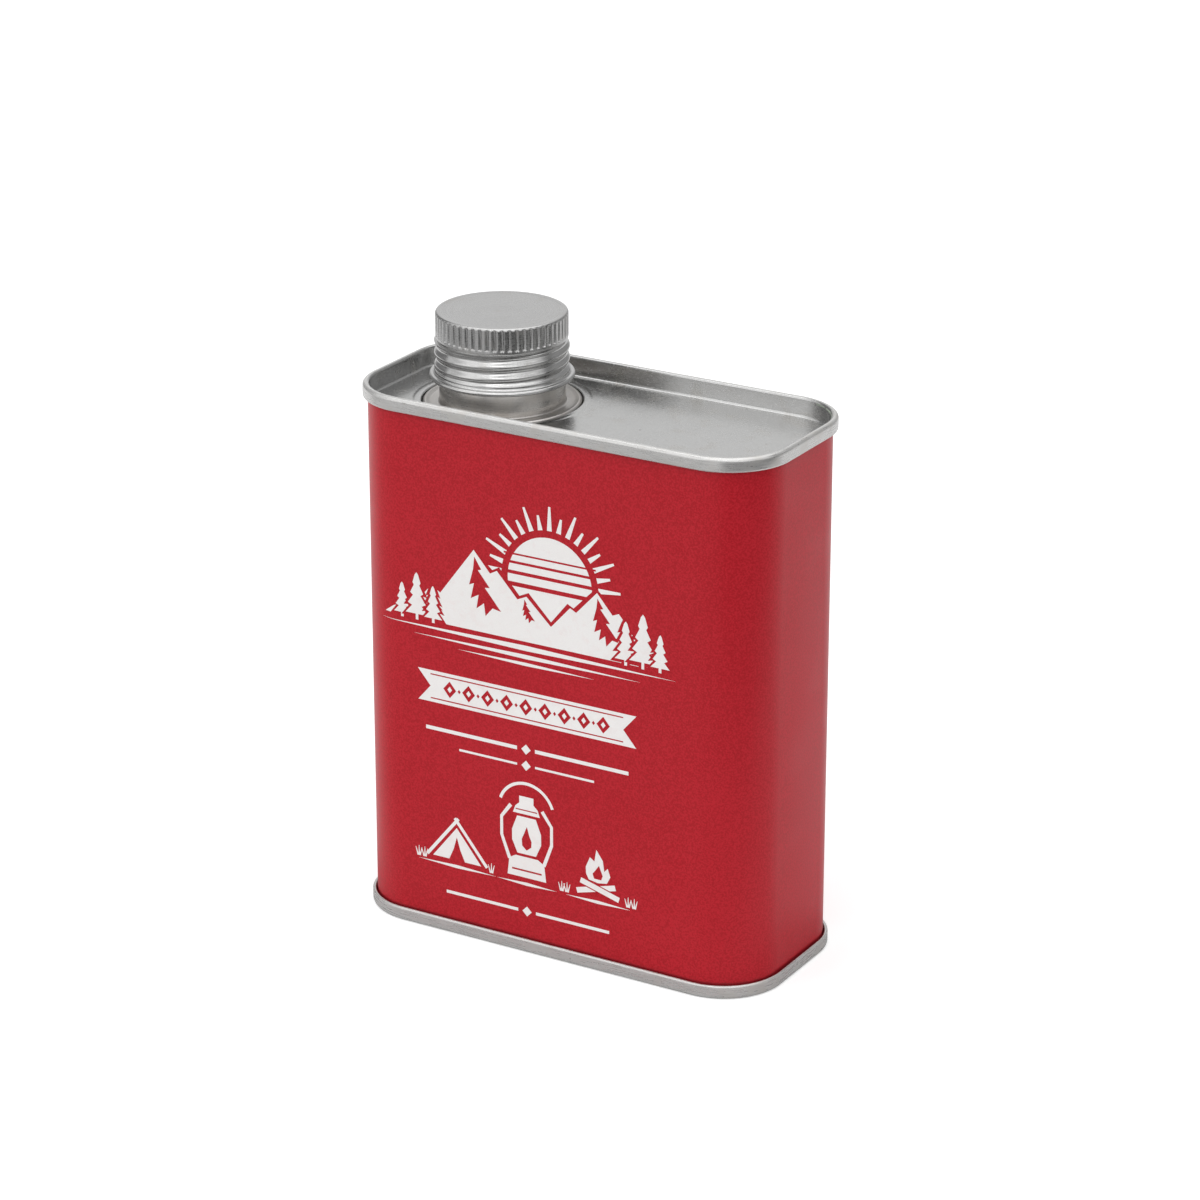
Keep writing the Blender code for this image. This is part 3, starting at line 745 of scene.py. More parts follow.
def make_print():
    """Cut the shapes into one flat film, bend it round the wall and give it its thickness."""
    points, outlines = [], []
    for shape, inked in print_shapes:
        outlines.append(list(range(len(points), len(points) + len(shape))))
        points += shape
    cut = delaunay_2d_cdt(points, [], outlines, 1, 1e-5, True)
    film = bmesh.new()
    corners = [film.verts.new((x + print_middle, 0.0, z)) for x, z in cut[0]]
    for triangle, sources in zip(cut[2], cut[5]):
        if sources and print_shapes[max(sources)][1]:
            film.faces.new([corners[index] for index in triangle])
    loose = [corner for corner in corners if not corner.link_faces]
    bmesh.ops.delete(film, geom=loose, context="VERTS")
    bmesh.ops.dissolve_limit(
        film, angle_limit=math.radians(0.5), verts=film.verts, edges=film.edges, delimit=set()
    )
    for step in range(bend_cuts):
        for side in (-1, 1):
            parts = film.verts[:] + film.edges[:] + film.faces[:]
            plane = (side * (corner_x + step * bend_step), 0, 0)
            bmesh.ops.bisect_plane(film, geom=parts, dist=1e-4, plane_co=plane, plane_no=(1, 0, 0))
    bmesh.ops.triangulate(film, faces=film.faces)
    mesh = bmesh.new()
    film.verts.index_update()
    top = [mesh.verts.new(on_front(v.co.x, v.co.z, ink_proud)) for v in film.verts]
    under = [mesh.verts.new(on_front(v.co.x, v.co.z, -ink_depth)) for v in film.verts]
    for face in film.faces:
        loop = [v.index for v in face.verts]
        mesh.faces.new([top[index] for index in loop])
        mesh.faces.new([under[index] for index in reversed(loop)])
    for edge in film.edges:
        if len(edge.link_faces) == 1:
            loop = edge.link_loops[0]
            a, b = loop.vert.index, loop.link_loop_next.vert.index
            mesh.faces.new((top[b], top[a], under[a], under[b]))
    film.free()
    bmesh.ops.recalc_face_normals(mesh, faces=mesh.faces)
    finish_piece(mesh, "front_print", "can", (make_ink(),))


make_print()


# Upper end. Tinplate pressed to a sunk panel and double-seamed onto the body, with a low
# ring and a recess pressed into the panel round the hole that the neck is clinched in.
# The seaming rollers iron fine lines along the rim, and handling leaves a dull film on it.
top_panel_depth = 4.7
panel_radius = 0.8
panel_margin = 0.5
ring_rise = 0.15
ring_slope = 0.4
ring_width = 1.95
recess_corner = 0.35
flange_play = 0.3
flange_width = 3.8
flange_dish = 0.3
ring_radius = 20.43
neck_x = -25.04
neck_sheet = 0.3
neck_gap = 0.25
gasket_height = 0.4
skirt_step = 0.9
hole_play = 0.3
bead_radius = 0.45
bead_rise = 0.05
turn_steps = 160
rim_start = 0.45
rim_inward = 4.0
wobble_long = 0.018
wobble_short = 0.012
roller_press = 0.03

panel_edge = chuck_wall - panel_radius
panel_top = can_height - top_panel_depth
recess_radius = ring_radius - ring_width
flange_radius = recess_radius - flange_play
neck_radius = flange_radius - flange_width
flange_top = panel_top - neck_sheet / 2
bead_top = panel_top + bead_rise
fold_radius = (neck_sheet + neck_gap) / 2
fold_bottom = flange_top - flange_dish - 2 * fold_radius
gasket_top = fold_bottom - neck_sheet / 2 - neck_gap
recess_floor = gasket_top - gasket_height - neck_gap
skirt_radius = neck_radius - neck_sheet / 2 + skirt_step
hole_radius = skirt_radius + neck_sheet / 2 + hole_play

rim_grey = (0.62, 0.615, 0.606)


def turned_ring(mesh, radius, height, steps=turn_steps, centre_x=0.0):
    """A ring round the neck's axis; the radius may be a function of the angle."""
    ring = []
    for step in range(steps):
        angle = 2 * math.pi * step / steps
        reach = radius(angle) if callable(radius) else radius
        ring.append(mesh.verts.new((centre_x + reach * math.cos(angle), reach * math.sin(angle), height)))
    return ring


def end_section(panel_height):
    """Middle line of an end sheet, from its panel up the chuck wall to the cover hook."""
    panel_middle = panel_height - tinplate / 2
    inner, outer = crown_inner_radius, crown_outer_radius
    section = [(panel_edge - panel_margin, panel_middle)]
    section += arc((panel_edge, panel_middle + panel_radius), panel_radius, -90, 0, 8)
    section += arc((chuck_wall + inner, crown_middle - inner), inner, 180, 90, 7)
    section += arc((seaming_wall - outer, crown_middle - outer), outer, 90, 0, 9)
    section += arc((body_hook, seam_foot + layer_step), layer_step, 0, -180, 12)
    section.append((cover_hook, cover_hook_end))
    return section


def roller_wobble(mesh):
    """The seaming rollers press the outer wall of a rim in and leave it very slightly wavy."""
    for corner in mesh.verts:
        beyond = max(abs(corner.co.x) - body_width / 2, abs(corner.co.y) - body_depth / 2)
        depth = min(corner.co.z, can_height - corner.co.z)
        if beyond > 0.9 and 0.3 < depth < 3.4:
            along = corner.co.x * 0.55 + corner.co.y * 0.8
            shift = wobble_long * math.sin(along) + wobble_short * math.sin(along * 2.3 + 1.0) - roller_press
            length = math.hypot(corner.co.x, corner.co.y)
            corner.co.x += shift * corner.co.x / length
            corner.co.y += shift * corner.co.y / length


def fill_level(mesh, *rings):
    """Fill the level area inside the first ring, less the hole that the second bounds."""
    edges = []
    for ring in rings:
        for index in range(len(ring)):
            edges.append(mesh.edges.get((ring[index - 1], ring[index])))
    bmesh.ops.triangle_fill(mesh, use_beauty=True, edges=edges, normal=(0.0, 0.0, 1.0))


def mark_rim(mesh, above, level):
    """Give the second material, the rim's, to the faces past a level that don't look inward."""
    for face in mesh.faces:
        past = (face.calc_center_median().z > level) == above
        face.material_index = 1 if past and facing_out(face) > -rim_inward else 0


def recess_section():
    """Middle line of the panel from outside the pressed ring in to the neck's hole."""
    level = panel_top - tinplate / 2
    raised = level + ring_rise
    wall = recess_radius + tinplate / 2
    floor = recess_floor - tinplate / 2
    section = [(ring_radius + panel_margin, level), (ring_radius + 0.12, level)]
    section += [(ring_radius, level + 0.02), (ring_radius - ring_slope, raised - 0.02)]
    section.append((ring_radius - ring_slope - 0.12, raised))
    section += arc((wall + recess_corner, raised - recess_corner), recess_corner, 90, 180, 6)
    section += arc((wall - recess_corner, floor + recess_corner), recess_corner, 0, -90, 5)
    section.append((hole_radius, floor))
    return section


def sheet_rings(section, thickness, ring):
    """Rings along one face of a bent sheet and back along the other; ring makes each of them."""
    faces = [[ring(reach, height) for reach, height in face] for face in sheet_faces(section, thickness)]
    return faces[0] + faces[1][::-1]


def make_top_end():
    mesh = bmesh.new()
    rim = sheet_rings(end_section(panel_top), tinplate, lambda offset, height: can_ring(mesh, offset, height))
    loft(mesh, rim)
    recess = sheet_rings(
        recess_section(), tinplate, lambda radius, height: turned_ring(mesh, radius, height, centre_x=neck_x)
    )
    loft(mesh, recess)
    fill_level(mesh, rim[0], recess[-1])
    fill_level(mesh, rim[-1], recess[0])
    bmesh.ops.recalc_face_normals(mesh, faces=mesh.faces)
    roller_wobble(mesh)
    mark_rim(mesh, True, panel_top + rim_start)
    finish_piece(mesh, "upper_end", "can", (bright_tin, rim_tin), "top_end")


rim_tin = make_tin(
    "seamed_rim_tinplate", rim_grey, 0.28, line_size=0.34, stretch=(0.09, 0.09, 1.0), grain=0.22,
    stains=0.36, pit_spacing=2.4, pit_size=0.09, bare=0.64,
)
make_top_end()


# Lower end. The same tinplate as the upper one, a plain sunk panel under the same seam.
# The can stands on the crown of this rim, with the panel held clear of the table.
bottom_panel_depth = 4.0


def close_skin(mesh, rings):
    """Lay a skin over rings, with a flat face across the first and the last of them."""
    loft(mesh, rings)
    mesh.faces.new(rings[0])
    mesh.faces.new(rings[-1])
    bmesh.ops.recalc_face_normals(mesh, faces=mesh.faces)


def make_bottom_end():
    mesh = bmesh.new()
    section = turned_over(end_section(can_height - bottom_panel_depth))
    close_skin(mesh, sheet_rings(section, tinplate, lambda offset, height: can_ring(mesh, offset, height)))
    roller_wobble(mesh)
    mark_rim(mesh, False, bottom_panel_depth - rim_start)
    finish_piece(mesh, "lower_end", "can", (bright_tin, rim_tin), "bottom_end")


make_bottom_end()


# Seam compound and neck gasket. Soft rings that make the joints tight, hidden in the
# seams' crowns and under the neck's flange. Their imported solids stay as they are.
dark_compound = (0.24, 0.27, 0.23)
light_compound = (0.33, 0.36, 0.31)
dark_rubber = (0.016, 0.016, 0.017)
light_rubber = (0.035, 0.034, 0.033)


def make_rubber(name, dark, light, roughness):
    """Matte rubber or lining compound, mottled and slightly dusty."""
    material, tree, shader, at = new_material(name, Specular_IOR_Level=0.3)
    grain = place_grain(tree, at, 0.4)
    cloud = place_patches(tree, at, 3.0, 0.5, 0.15)
    tone = weighted_sum(tree, 0.3, (grain, 0.3), (cloud, 0.4))
    rough = weighted_sum(tree, roughness, (grain, 0.08))
    feed(tree, shader, Base_Color=mixed(tree, tone, dark, light), Roughness=rough)
    bump(tree, shader, weighted_sum(tree, 0.0, (grain, 0.01)))
    return material


seam_compound = make_rubber("seam_compound", dark_compound, light_compound, 0.7)
gasket_rubber = make_rubber("gasket_rubber", dark_rubber, light_rubber, 0.75)
for node, material in (
    ("top_seam_sealant", seam_compound),
    ("bottom_seam_sealant", seam_compound),
    ("neck_gasket", gasket_rubber),
):
    hidden_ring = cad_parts[node]
    hidden_ring.data.materials.clear()
    hidden_ring.data.materials.append(material)


# Neck. Drawn from tinplate: the mouth is curled outward, a thread is rolled into the wall,
# and the foot is pinched to a flange, goes down through the hole in the panel and is
# clinched outward under it. It is turned, a little darker and browner than the ends.
mouth_curl = 0.35
foot_radius = 0.55
foot_room = 0.3
skirt_bend = 0.4
clinch_width = 2.2
neck_shoulder = 0.8
neck_grey = (0.52, 0.502, 0.484)

thread_lead = 2.8
thread_depth = 0.64
thread_rise = 0.46
thread_length = 6.7
thread_fade = 0.9
thread_play = 0.28
thread_crest = 2.2
thread_rows_per_turn = 16

cap_sheet = 0.3
cap_curl = 0.5
cap_stand = 5.6
curl_to_thread = 0.85
waist_height = 0.9
skirt_height = 0.6
knurl_height = 4.1
shoulder_height = 0.7
roof_height = 0.5
plug_lip = 1.0
liner_height = 1.2
inside_play = 0.3

clinch_height = recess_floor - tinplate - neck_gap - neck_sheet / 2
cap_bottom = panel_top + cap_stand
curl_height = cap_bottom + cap_curl + cap_sheet / 2
thread_bottom = curl_height + cap_curl + curl_to_thread
thread_top = thread_bottom + thread_length
neck_thread_top = thread_top - thread_fade
thread_root = neck_radius - thread_rise
skirt_bottom = thread_top + waist_height
knurl_bottom = skirt_bottom + skirt_height
cap_top = knurl_bottom + knurl_height + shoulder_height + roof_height
liner_top = cap_top - cap_sheet - inside_play
liner_bottom = liner_top - liner_height
plug_top = liner_bottom - inside_play
plug_lip_bottom = plug_top - plug_lip
mouth_top = plug_lip_bottom - inside_play
mouth_radius = thread_root - neck_sheet - 2 * mouth_curl


def thread_wave(angle, height):
    """Height of the thread's wave, from 0 in the groove to 1 on the crest."""
    turns = (height - thread_bottom - thread_crest) / thread_lead
    return (1 + math.cos(2 * math.pi * turns - angle)) / 2


def thread_heights(bottom, top):
    """Heights of the rows that carry the thread, evenly spaced."""
    count = round((top - bottom) / thread_lead * thread_rows_per_turn)
    return [bottom + (top - bottom) * row / count for row in range(count + 1)]


def neck_section():
    """Middle line of the neck sheet, from its curled mouth down to the clinched edge."""
    mouth_middle = mouth_radius + neck_sheet / 2
    curl_centre = (mouth_middle + mouth_curl, mouth_top - neck_sheet / 2 - mouth_curl)
    root = thread_root - neck_sheet / 2
    wall = neck_radius - neck_sheet / 2
    bend = skirt_radius + skirt_bend
    fold_centre = (flange_radius - neck_sheet / 2 - fold_radius, fold_bottom + fold_radius)
    section = arc(curl_centre, mouth_curl, -60, 180, 12)
    section.append((mouth_middle, neck_thread_top + 2 * neck_shoulder))
    section.append((root, neck_thread_top + neck_shoulder))
    section += [(root, height) for height in thread_heights(thread_bottom, neck_thread_top)[::-1]]
    section.append((wall, thread_bottom - neck_shoulder))
    dish = flange_top - flange_dish
    section.append((wall, dish + foot_radius + foot_room))
    section += arc((wall + foot_radius, dish + foot_radius), foot_radius, 180, 270, 7)
    bead = (flange_radius - neck_sheet / 2 - bead_radius, bead_top - bead_radius)
    section.append((wall + foot_radius + foot_room, dish))
    section += [(bead[0] - 1.25, dish + 0.02), (bead[0] - 0.75, dish + 0.14)]
    section += arc(bead, bead_radius, 118, 0, 8)
    section += arc(fold_centre, fold_radius, 0, -90, 5)
    section += arc((bend, fold_bottom - skirt_bend), skirt_bend, 90, 180, 4)
    section += arc((bend, clinch_height + skirt_bend), skirt_bend, 180, 270, 4)
    section.append((skirt_radius + clinch_width, clinch_height))
    return section


def neck_thread(radius, middle_height, height):
    """Radius of the neck sheet round its axis where the thread is rolled into it."""
    rise = ramp((middle_height - thread_bottom) / thread_fade)
    fall = ramp((neck_thread_top - middle_height) / thread_fade)
    depth = thread_depth * min(rise, fall)
    return lambda angle: radius + depth * thread_wave(angle, height)


def make_neck():
    middle = neck_section()
    mesh = bmesh.new()
    faces = []
    for side in sheet_faces(middle, neck_sheet):
        rings = []
        for (radius, height), (_, middle_height) in zip(side, middle):
            rings.append(turned_ring(mesh, neck_thread(radius, middle_height, height), height))
        faces.append(rings)
    loft(mesh, faces[0] + faces[1][::-1], closed=True)
    bmesh.ops.recalc_face_normals(mesh, faces=mesh.faces)
    finish_piece(mesh, "screw_neck", "can", (neck_tin,), "neck", neck_x)


neck_tin = make_tin("neck_tinplate", neck_grey, 0.30, turned=True, line_size=0.22, stains=0.45)
make_neck()


# Inner plug. A push-in cup moulded in natural plastic, whose lip rests on the curled mouth
# of the neck. A fingertip in the cup pulls it out.
plug_wall = 1.0
plug_depth = 5.0
plug_play = 0.25
plug_steps = 96
lip_round = 0.3
cup_round = 0.6
groove_middle = 1.9
snap_groove = 0.12
gate_ring = 0.18
dark_plastic = (0.74, 0.74, 0.70)
light_plastic = (0.83, 0.83, 0.80)


def make_plug_plastic():
    """Milky moulded plastic with a dull bloom and fine scuffs."""
    material, tree, shader, at = new_material("plug_plastic", Specular_IOR_Level=0.4)
    shader.inputs["Subsurface Weight"].default_value = 0.15
    shader.inputs["Subsurface Radius"].default_value = (0.002, 0.0018, 0.0015)
    grain = place_grain(tree, at, 0.25)
    cloud = place_grain(tree, at, 5.0)
    scuffs = place_patches(tree, at, 1.6, 0.3, 0.06)
    tone = weighted_sum(tree, 0.5, (grain, 0.15), (cloud, 0.3))
    white = mixed(tree, tone, dark_plastic, light_plastic)
    feed(tree, shader, Base_Color=white, Roughness=weighted_sum(tree, 0.42, (grain, 0.05), (scuffs, 0.12)))
    bump(tree, shader, weighted_sum(tree, 0.0, (grain, 0.003), (scuffs, -0.004)))
    return material


def plug_section():
    """Outline of the plug, from the middle of its cup over the lip to the middle below."""
    lip = thread_root - inside_play
    skirt = mouth_radius - plug_play
    cup = skirt - plug_wall
    bottom = plug_lip_bottom - plug_depth
    floor = bottom + plug_wall
    section = [(0.9, floor + 0.05), (1.2, floor), (5.6, floor)]
    section += [(5.8, floor + gate_ring), (6.3, floor + gate_ring), (6.5, floor)]
    section.append((cup - cup_round - 0.2, floor))
    section += arc((cup - cup_round, floor + cup_round), cup_round, -90, 0, 6)
    section += arc((cup + 0.25, plug_top - 0.25), 0.25, 180, 90, 4)
    section += arc((lip - lip_round, plug_top - lip_round), lip_round, 90, 0, 5)
    section += arc((lip - 0.2, plug_lip_bottom + 0.2), 0.2, 0, -90, 3)
    section += [(skirt, plug_lip_bottom), (skirt, plug_lip_bottom - groove_middle + 0.3)]
    section.append((skirt - snap_groove, plug_lip_bottom - groove_middle))
    section.append((skirt, plug_lip_bottom - groove_middle - 0.3))
    return section + [(skirt, bottom + 0.5), (skirt - 0.5, bottom), (4.0, bottom)]


def make_turned_solid(section, steps, name, body, material, node):
    """A solid piece turned from a section that starts and ends near the neck's axis."""
    mesh = bmesh.new()
    close_skin(mesh, [turned_ring(mesh, radius, height, steps) for radius, height in section])
    finish_piece(mesh, name, body, (material,), node, neck_x)


make_turned_solid(
    plug_section(), plug_steps, "mouth_plug", "plug", make_plug_plastic(), "inner_plug"
)


# Cap liner. A disc of closed foam pressed into the roof of the cap. The lip of the plug
# has left a shallow ring in its underside.
knurl_depth = 0.3
band_inset = 0.31
liner_steps = 96
liner_round = 0.12
lip_mark_inside = 0.1
lip_mark_edge = 0.55
dark_foam = (0.66, 0.65, 0.62)
light_foam = (0.80, 0.80, 0.78)
foam_stain = (0.62, 0.57, 0.46)

cap_crest = neck_radius + thread_rise + thread_play
band_radius = cap_crest + cap_sheet - band_inset
cap_inner = band_radius - knurl_depth - cap_sheet


def make_liner_foam():
    """White closed foam with its cells showing at the surface."""
    material, tree, shader, at = new_material("liner_foam", Specular_IOR_Level=0.25)
    cells = place_specks(tree, at, 0.45, 0.7, 0.5)
    grain = place_grain(tree, at, 0.3)
    stain = place_patches(tree, at, 7.0, 0.4, 0.12)
    tone = weighted_sum(tree, 0.7, (cells, -0.5), (grain, 0.15))
    white = mixed(tree, tone, dark_foam, light_foam)
    white = mixed(tree, math_node(tree, "MULTIPLY", stain, 0.25), white, foam_stain)
    feed(tree, shader, Base_Color=white, Roughness=weighted_sum(tree, 0.82, (grain, 0.08)))
    bump(tree, shader, weighted_sum(tree, 0.0, (cells, -0.03), (grain, 0.008)))
    return material


def liner_section():
    """Outline of the disc; the lip's mark is the shallow ring in its underside."""
    edge = cap_inner - inside_play
    mark = mouth_radius + lip_mark_inside
    marked = liner_bottom + liner_round
    section = [(2.0, liner_bottom), (mark - 0.5, liner_bottom), (mark - 0.2, marked)]
    section += [(edge - lip_mark_edge - 0.2, marked), (edge - lip_mark_edge, liner_bottom)]
    section += [(edge - liner_round, liner_bottom), (edge, liner_bottom + liner_round)]
    return section + [(edge, liner_top - liner_round), (edge - liner_round, liner_top), (2.0, liner_top)]


make_turned_solid(
    liner_section(), liner_steps, "foam_liner", "liner", make_liner_foam(), "cap_liner"
)


# Screw cap. Drawn from one sheet of tinplate: a flat roof, a band of pressed knurls, a
# waist, the rolled thread, and the lower edge flared and curled under to a bead. It is
# satin with turning marks, and the rolled thread and the bead shine more than the rest.
waist_step = 0.5
flare_radius = 0.70
bead_curl = 0.42
knurl_count = 56
knurl_start = 0.15
knurl_entry = 0.60
knurl_runout = 0.22
runout_rows = 5
groove_share = 0.60
groove_depth = 0.42
groove_fullness = 1.25
roof_dip = 0.10
shoulder_radius = 0.62
inside_round = 0.4
roof_steps = 56
inside_steps = 128
cap_steps = knurl_count * 8
waist_radius = band_radius - waist_step
cap_grey = (0.49, 0.488, 0.485)
rolled_grey = (0.54, 0.538, 0.534)


def cap_thread(radius, height):
    """Radius of the cap sheet round its axis where the thread is rolled into it."""
    depth = thread_depth * ramp((height - thread_bottom) / thread_fade)
    return lambda angle: radius - depth * (1 - thread_wave(angle, height))


def knurl_radius(plain, height):
    """Radius of the knurled band: round flutes that start in the shoulder and run out below."""
    entry = ramp((cap_top - knurl_start - height) / knurl_entry)
    depth = groove_depth * min(entry, ramp((height - knurl_bottom) / knurl_runout))

    def radius(angle):
        phase = (angle / (2 * math.pi) * knurl_count + 0.5) % 1.0 - 0.5
        if abs(phase) >= groove_share / 2:
            return plain
        return plain - depth * ramp(groove_fullness * (1 - 2 * abs(phase) / groove_share))

    return radius


def make_cap():
    mesh = bmesh.new()
    rings = []

    def outer(radius, height):
        rings.append(turned_ring(mesh, radius, height, cap_steps))

    def inner(radius, height):
        rings.append(turned_ring(mesh, radius, height, inside_steps))

    roof = cap_top - roof_dip
    for radius in (0.7, 3.5, 7.0, 10.5):
        rings.append(turned_ring(mesh, radius, roof, roof_steps))
    for radius, height in ((13.0, roof), (13.55, roof), (13.75, roof + 0.03), (13.95, cap_top - 0.02)):
        outer(radius, height)
    crest = band_radius - shoulder_radius
    for radius, height in arc((crest, cap_top - shoulder_radius), shoulder_radius, 92, 0, 8):
        outer(knurl_radius(radius, height), height)
    heights = [cap_top - knurl_start - knurl_entry]
    heights += [knurl_bottom + knurl_runout * row / runout_rows for row in range(runout_rows, -1, -1)]
    for height in heights:
        outer(knurl_radius(band_radius, height), height)
    for radius, height in arc((band_radius - 0.35, skirt_bottom + 0.05), 0.35, 0, -55, 4):
        outer(radius, height)
    for radius, height in arc((waist_radius + 0.3, skirt_bottom - 0.58), 0.3, 125, 180, 3):
        outer(radius, height)
    heights = thread_heights(thread_bottom, thread_top)
    for height in heights[::-1]:
        outer(cap_thread(cap_crest + cap_sheet, height), height)
    wall = cap_crest + cap_sheet / 2
    bead = (wall + flare_radius + 0.06, cap_bottom + bead_curl + cap_sheet / 2)
    flare_top = bead[1] + bead_curl + flare_radius
    curl = [(wall, thread_bottom)] + arc((wall + flare_radius, flare_top), flare_radius, 180, 262, 9)
    curl += arc(bead, bead_curl, 80, -170, 20)
    outside, inside = sheet_faces(curl, cap_sheet)
    for radius, height in outside[1:]:
        outer(radius, height)
    for radius, height in inside[:0:-1]:
        inner(radius, height)
    for height in heights:
        inner(cap_thread(cap_crest, height), height)
    inner(waist_radius - cap_sheet, skirt_bottom - 0.5)
    inner(cap_inner, skirt_bottom)
    inside_corner = (cap_inner - inside_round, cap_top - cap_sheet - inside_round)
    for radius, height in arc(inside_corner, inside_round, 0, 90, 5):
        inner(radius, height)
    close_skin(mesh, rings)
    for face in mesh.faces:
        face.material_index = 1 if face.calc_center_median().z < skirt_bottom - 0.1 else 0
    finish_piece(mesh, "knurled_cap", "cap", (cap_tin, rolled_tin), "screw_cap", neck_x)


cap_tin = make_tin("cap_tinplate", cap_grey, 0.27, turned=True, line_size=0.20, grain=0.7, stains=0.22)
rolled_tin = make_tin(
    "rolled_thread_tinplate", rolled_grey, 0.16, turned=True, line_size=0.20, stains=0.22, drawn=0.85
)
make_cap()


# Studio. A white table that runs out of sight, a large soft box at the front left, one
# overhead, a weaker one at the right and a small one over the camera. In the metal's
# reflections the table is painted grey near the can, a painted shade, and the white room has its own darker
# parts.
table_near = 0.24
table_far = -1.6
table_side = 1.3
table_turn = -32.0
table_white = 0.82
table_painted_shade = -0.42
table_glow = 0.40
glossy_glow = 0.08


def make_table():
    mesh = bmesh.new()
    edge = math.radians(table_turn)
    across = (math.cos(edge), math.sin(edge))
    along = (-across[1], across[0])
    corners = []
    for reach, turn in ((table_near, -1), (table_near, 1), (table_far, 1), (table_far, -1)):
        side = turn * table_side
        corners.append(mesh.verts.new([reach * a + side * b for a, b in zip(across, along)] + [0.0]))
    mesh.faces.new(corners)
    data = bpy.data.meshes.new("table")
    mesh.to_mesh(data)
    mesh.free()
    data.materials.append(make_table_white())
    table = bpy.data.objects.new("table", data)
    bpy.context.scene.collection.objects.link(table)


def make_table_white():
    """White to the eye; mirrored in the metal it is grey in front of the can and at its foot, a painted shade
    on a table that is lit white there.
    """
    material = bpy.data.materials.new("table_white")
    material.use_nodes = True
    tree = material.node_tree
    tree.nodes.clear()
    rays = new_node(tree, "LightPath").outputs
    seen = ((rays["Is Camera Ray"], table_glow), (rays["Is Transmission Ray"], table_glow))
    glow = weighted_sum(tree, 0.0, *seen, (rays["Is Glossy Ray"], glossy_glow))
    glow = new_node(tree, "Emission", {"Color": (1, 1, 1, 1), "Strength": glow})
    place = new_node(tree, "SeparateXYZ", {0: new_node(tree, "TexCoord").outputs["Object"]})
    # Painted shade: the grey that only reflections see, in front of the can and round its foot.
    in_front = smooth_mask(tree, place.outputs[1], -0.01, -0.07)
    deeper = math_node(tree, "MULTIPLY", place.outputs[1], 1.7)
    oval = new_node(tree, "CombineXYZ", {0: place.outputs[0], 1: deeper})
    reach = new_node(tree, "VectorMath", {0: oval.outputs[0]}, operation="LENGTH").outputs["Value"]
    at_foot = smooth_mask(tree, reach, 0.088, 0.064)
    grey = math_node(tree, "MAXIMUM", in_front, at_foot)
    greyed = math_node(tree, "MULTIPLY", rays["Is Glossy Ray"], grey)
    white = math_node(tree, "MULTIPLY_ADD", greyed, table_painted_shade, table_white)
    colour = new_node(tree, "CombineColor", {0: white, 1: white, 2: white}).outputs[0]
    cloth = new_node(tree, "BsdfDiffuse", {"Color": colour})
    both = new_node(tree, "AddShader", {0: glow.outputs[0], 1: cloth.outputs[0]})
    new_node(tree, "OutputMaterial", {"Surface": both.outputs[0]})
    return material


def soft_box(name, place, aim_height, width, height, power):
    """A rectangular lamp that looks at a height over the middle of the can's foot."""
    lamp = bpy.data.lights.new(name, "AREA")
    lamp.shape = "RECTANGLE"
    lamp.size = width
    lamp.size_y = height
    lamp.energy = power
    box = bpy.data.objects.new(name, lamp)
    box.location = place
    towards_can = Vector((0.0, 0.0, aim_height)) - Vector(place)
    box.rotation_euler = towards_can.to_track_quat("-Z", "Y").to_euler()
    bpy.context.scene.collection.objects.link(box)


make_table()
soft_box("key_left", (-1.3, -1.4, 1.3), 0.06, 3.2, 3.2, 29.0)
soft_box("overhead", (0.1, 0.1, 1.6), 0.06, 2.0, 2.0, 13.0)
soft_box("fill_right", (1.6, -0.4, 0.8), 0.06, 2.2, 2.2, 6.5)
soft_box("over_camera", (0.28, -0.86, 0.95), 0.13, 0.45, 0.14, 0.60)

world = bpy.data.worlds.new("studio")
bpy.context.scene.world = world
world.use_nodes = True
sky = world.node_tree
sky.nodes.clear()


room_glow = 0.86
light_on_can = 0.46
room_patches = (
    # compass angle, half width, low edge, high edge and softness in degrees, change of glow
    (-25, 42, -90, -4, 14, -0.80),
    (60, 30, -5, 50, 22, -0.48),
    (-125, 26, 8, 90, 30, -0.42),
    (5, 12, 5, 60, 30, -0.38),
    (182, 26, 5, 45, 26, -0.62),
    (-59, 10, 5, 32, 22, 0.40),
)


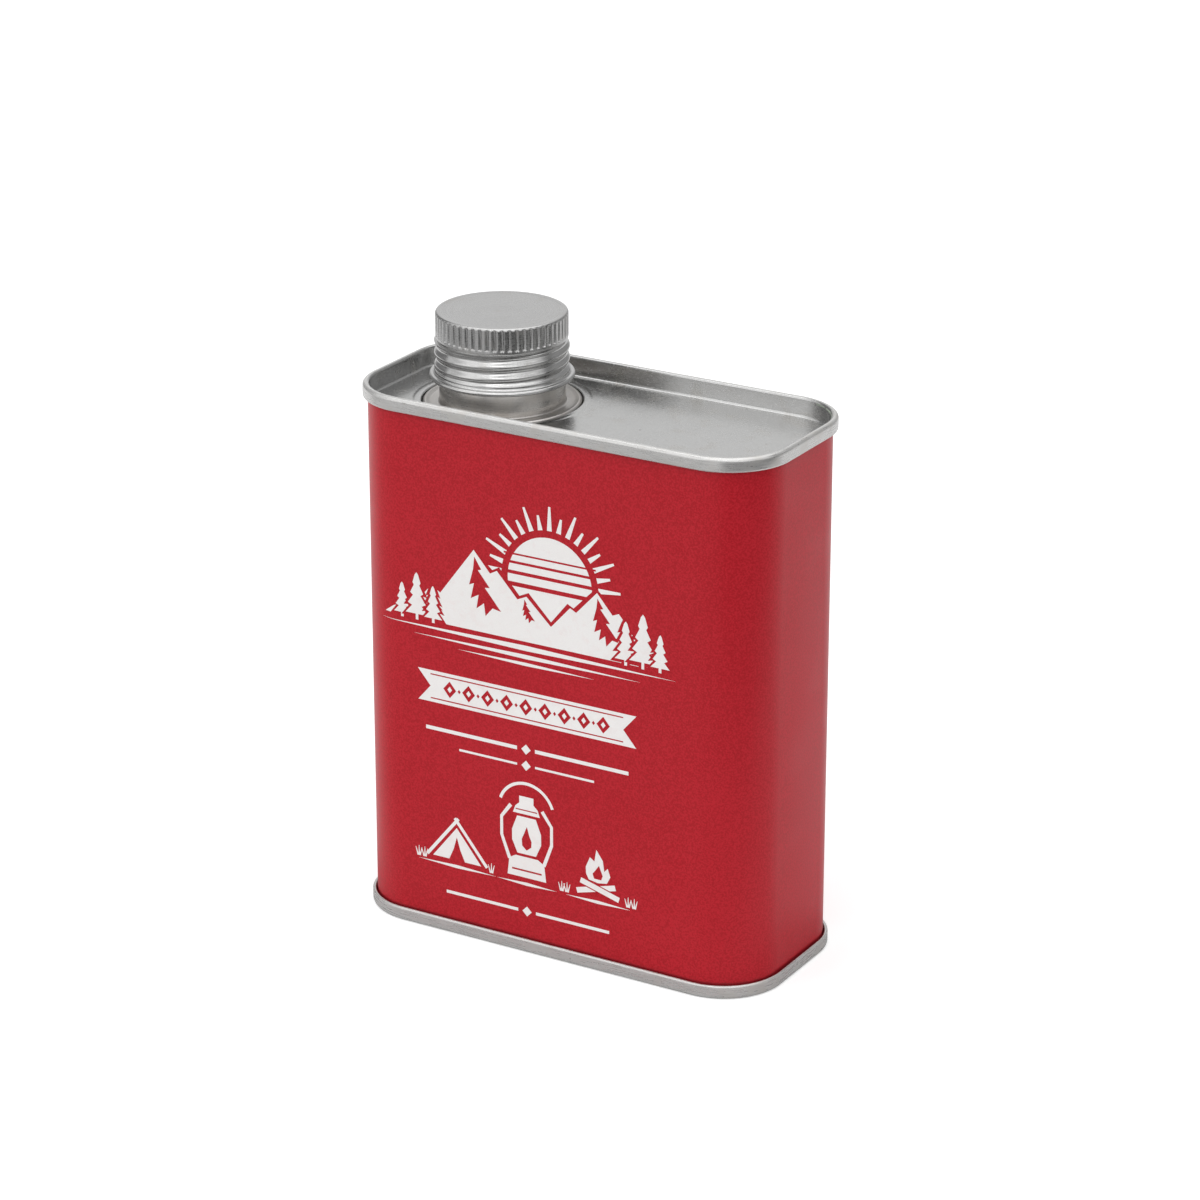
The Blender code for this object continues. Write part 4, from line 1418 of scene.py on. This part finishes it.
def room_patch(tree, azimuth, elevation, centre, half_width, low, high, soft):
    """A soft-edged patch of the room, darker or lighter than the rest of it."""
    turn = math_node(tree, "SUBTRACT", azimuth, math.radians(centre))
    turn = math_node(tree, "WRAP", turn, math.pi, -math.pi)
    away = math_node(tree, "ABSOLUTE", turn)
    sides = smooth_mask(tree, away, math.radians(half_width + soft), math.radians(half_width))
    above = smooth_mask(tree, elevation, math.radians(low - soft), math.radians(low))
    below = smooth_mask(tree, elevation, math.radians(high + soft), math.radians(high))
    mask = math_node(tree, "MULTIPLY", sides, above)
    return math_node(tree, "MULTIPLY", mask, below)


towards = new_node(sky, "TexCoord").outputs["Generated"]
parts = new_node(sky, "SeparateXYZ", {0: towards}).outputs
azimuth = math_node(sky, "ARCTAN2", parts[1], parts[0])
elevation = math_node(sky, "ARCSINE", parts[2])
patches = [(room_patch(sky, azimuth, elevation, *patch), change) for *patch, change in room_patches]
room = weighted_sum(sky, room_glow, *patches)
rays = new_node(sky, "LightPath").outputs
mirrored_room = math_node(sky, "MULTIPLY", rays["Is Glossy Ray"], room)
plain_white = math_node(sky, "ADD", rays["Is Camera Ray"], rays["Is Transmission Ray"], clamp=True)
seen = math_node(sky, "ADD", mirrored_room, plain_white)
direct = math_node(sky, "ADD", rays["Is Glossy Ray"], plain_white, clamp=True)
soft = math_node(sky, "SUBTRACT", 1.0, direct)
strength = math_node(sky, "MULTIPLY_ADD", soft, light_on_can, seen)
shine = new_node(sky, "Background", {"Color": (1, 1, 1, 1), "Strength": strength})
new_node(sky, "OutputWorld", {"Surface": shine.outputs[0]})

scene = bpy.context.scene
scene.view_settings.view_transform = "Standard"

view_azimuth = math.radians(30.686)
view_elevation = math.radians(21.075)
view_distance = 0.961006
view_target = Vector((-0.002637, 0.005730, 0.077909))
back = Vector((
    math.sin(view_azimuth) * math.cos(view_elevation),
    -math.cos(view_azimuth) * math.cos(view_elevation),
    math.sin(view_elevation),
))
lens = bpy.data.cameras.new("camera")
lens.lens = 125.2
lens.sensor_width = 36.0
lens.sensor_fit = "HORIZONTAL"
camera = bpy.data.objects.new("camera", lens)
camera.location = view_target + view_distance * back
camera.rotation_euler = (-back).to_track_quat("-Z", "Y").to_euler()
scene.collection.objects.link(camera)
scene.camera = camera
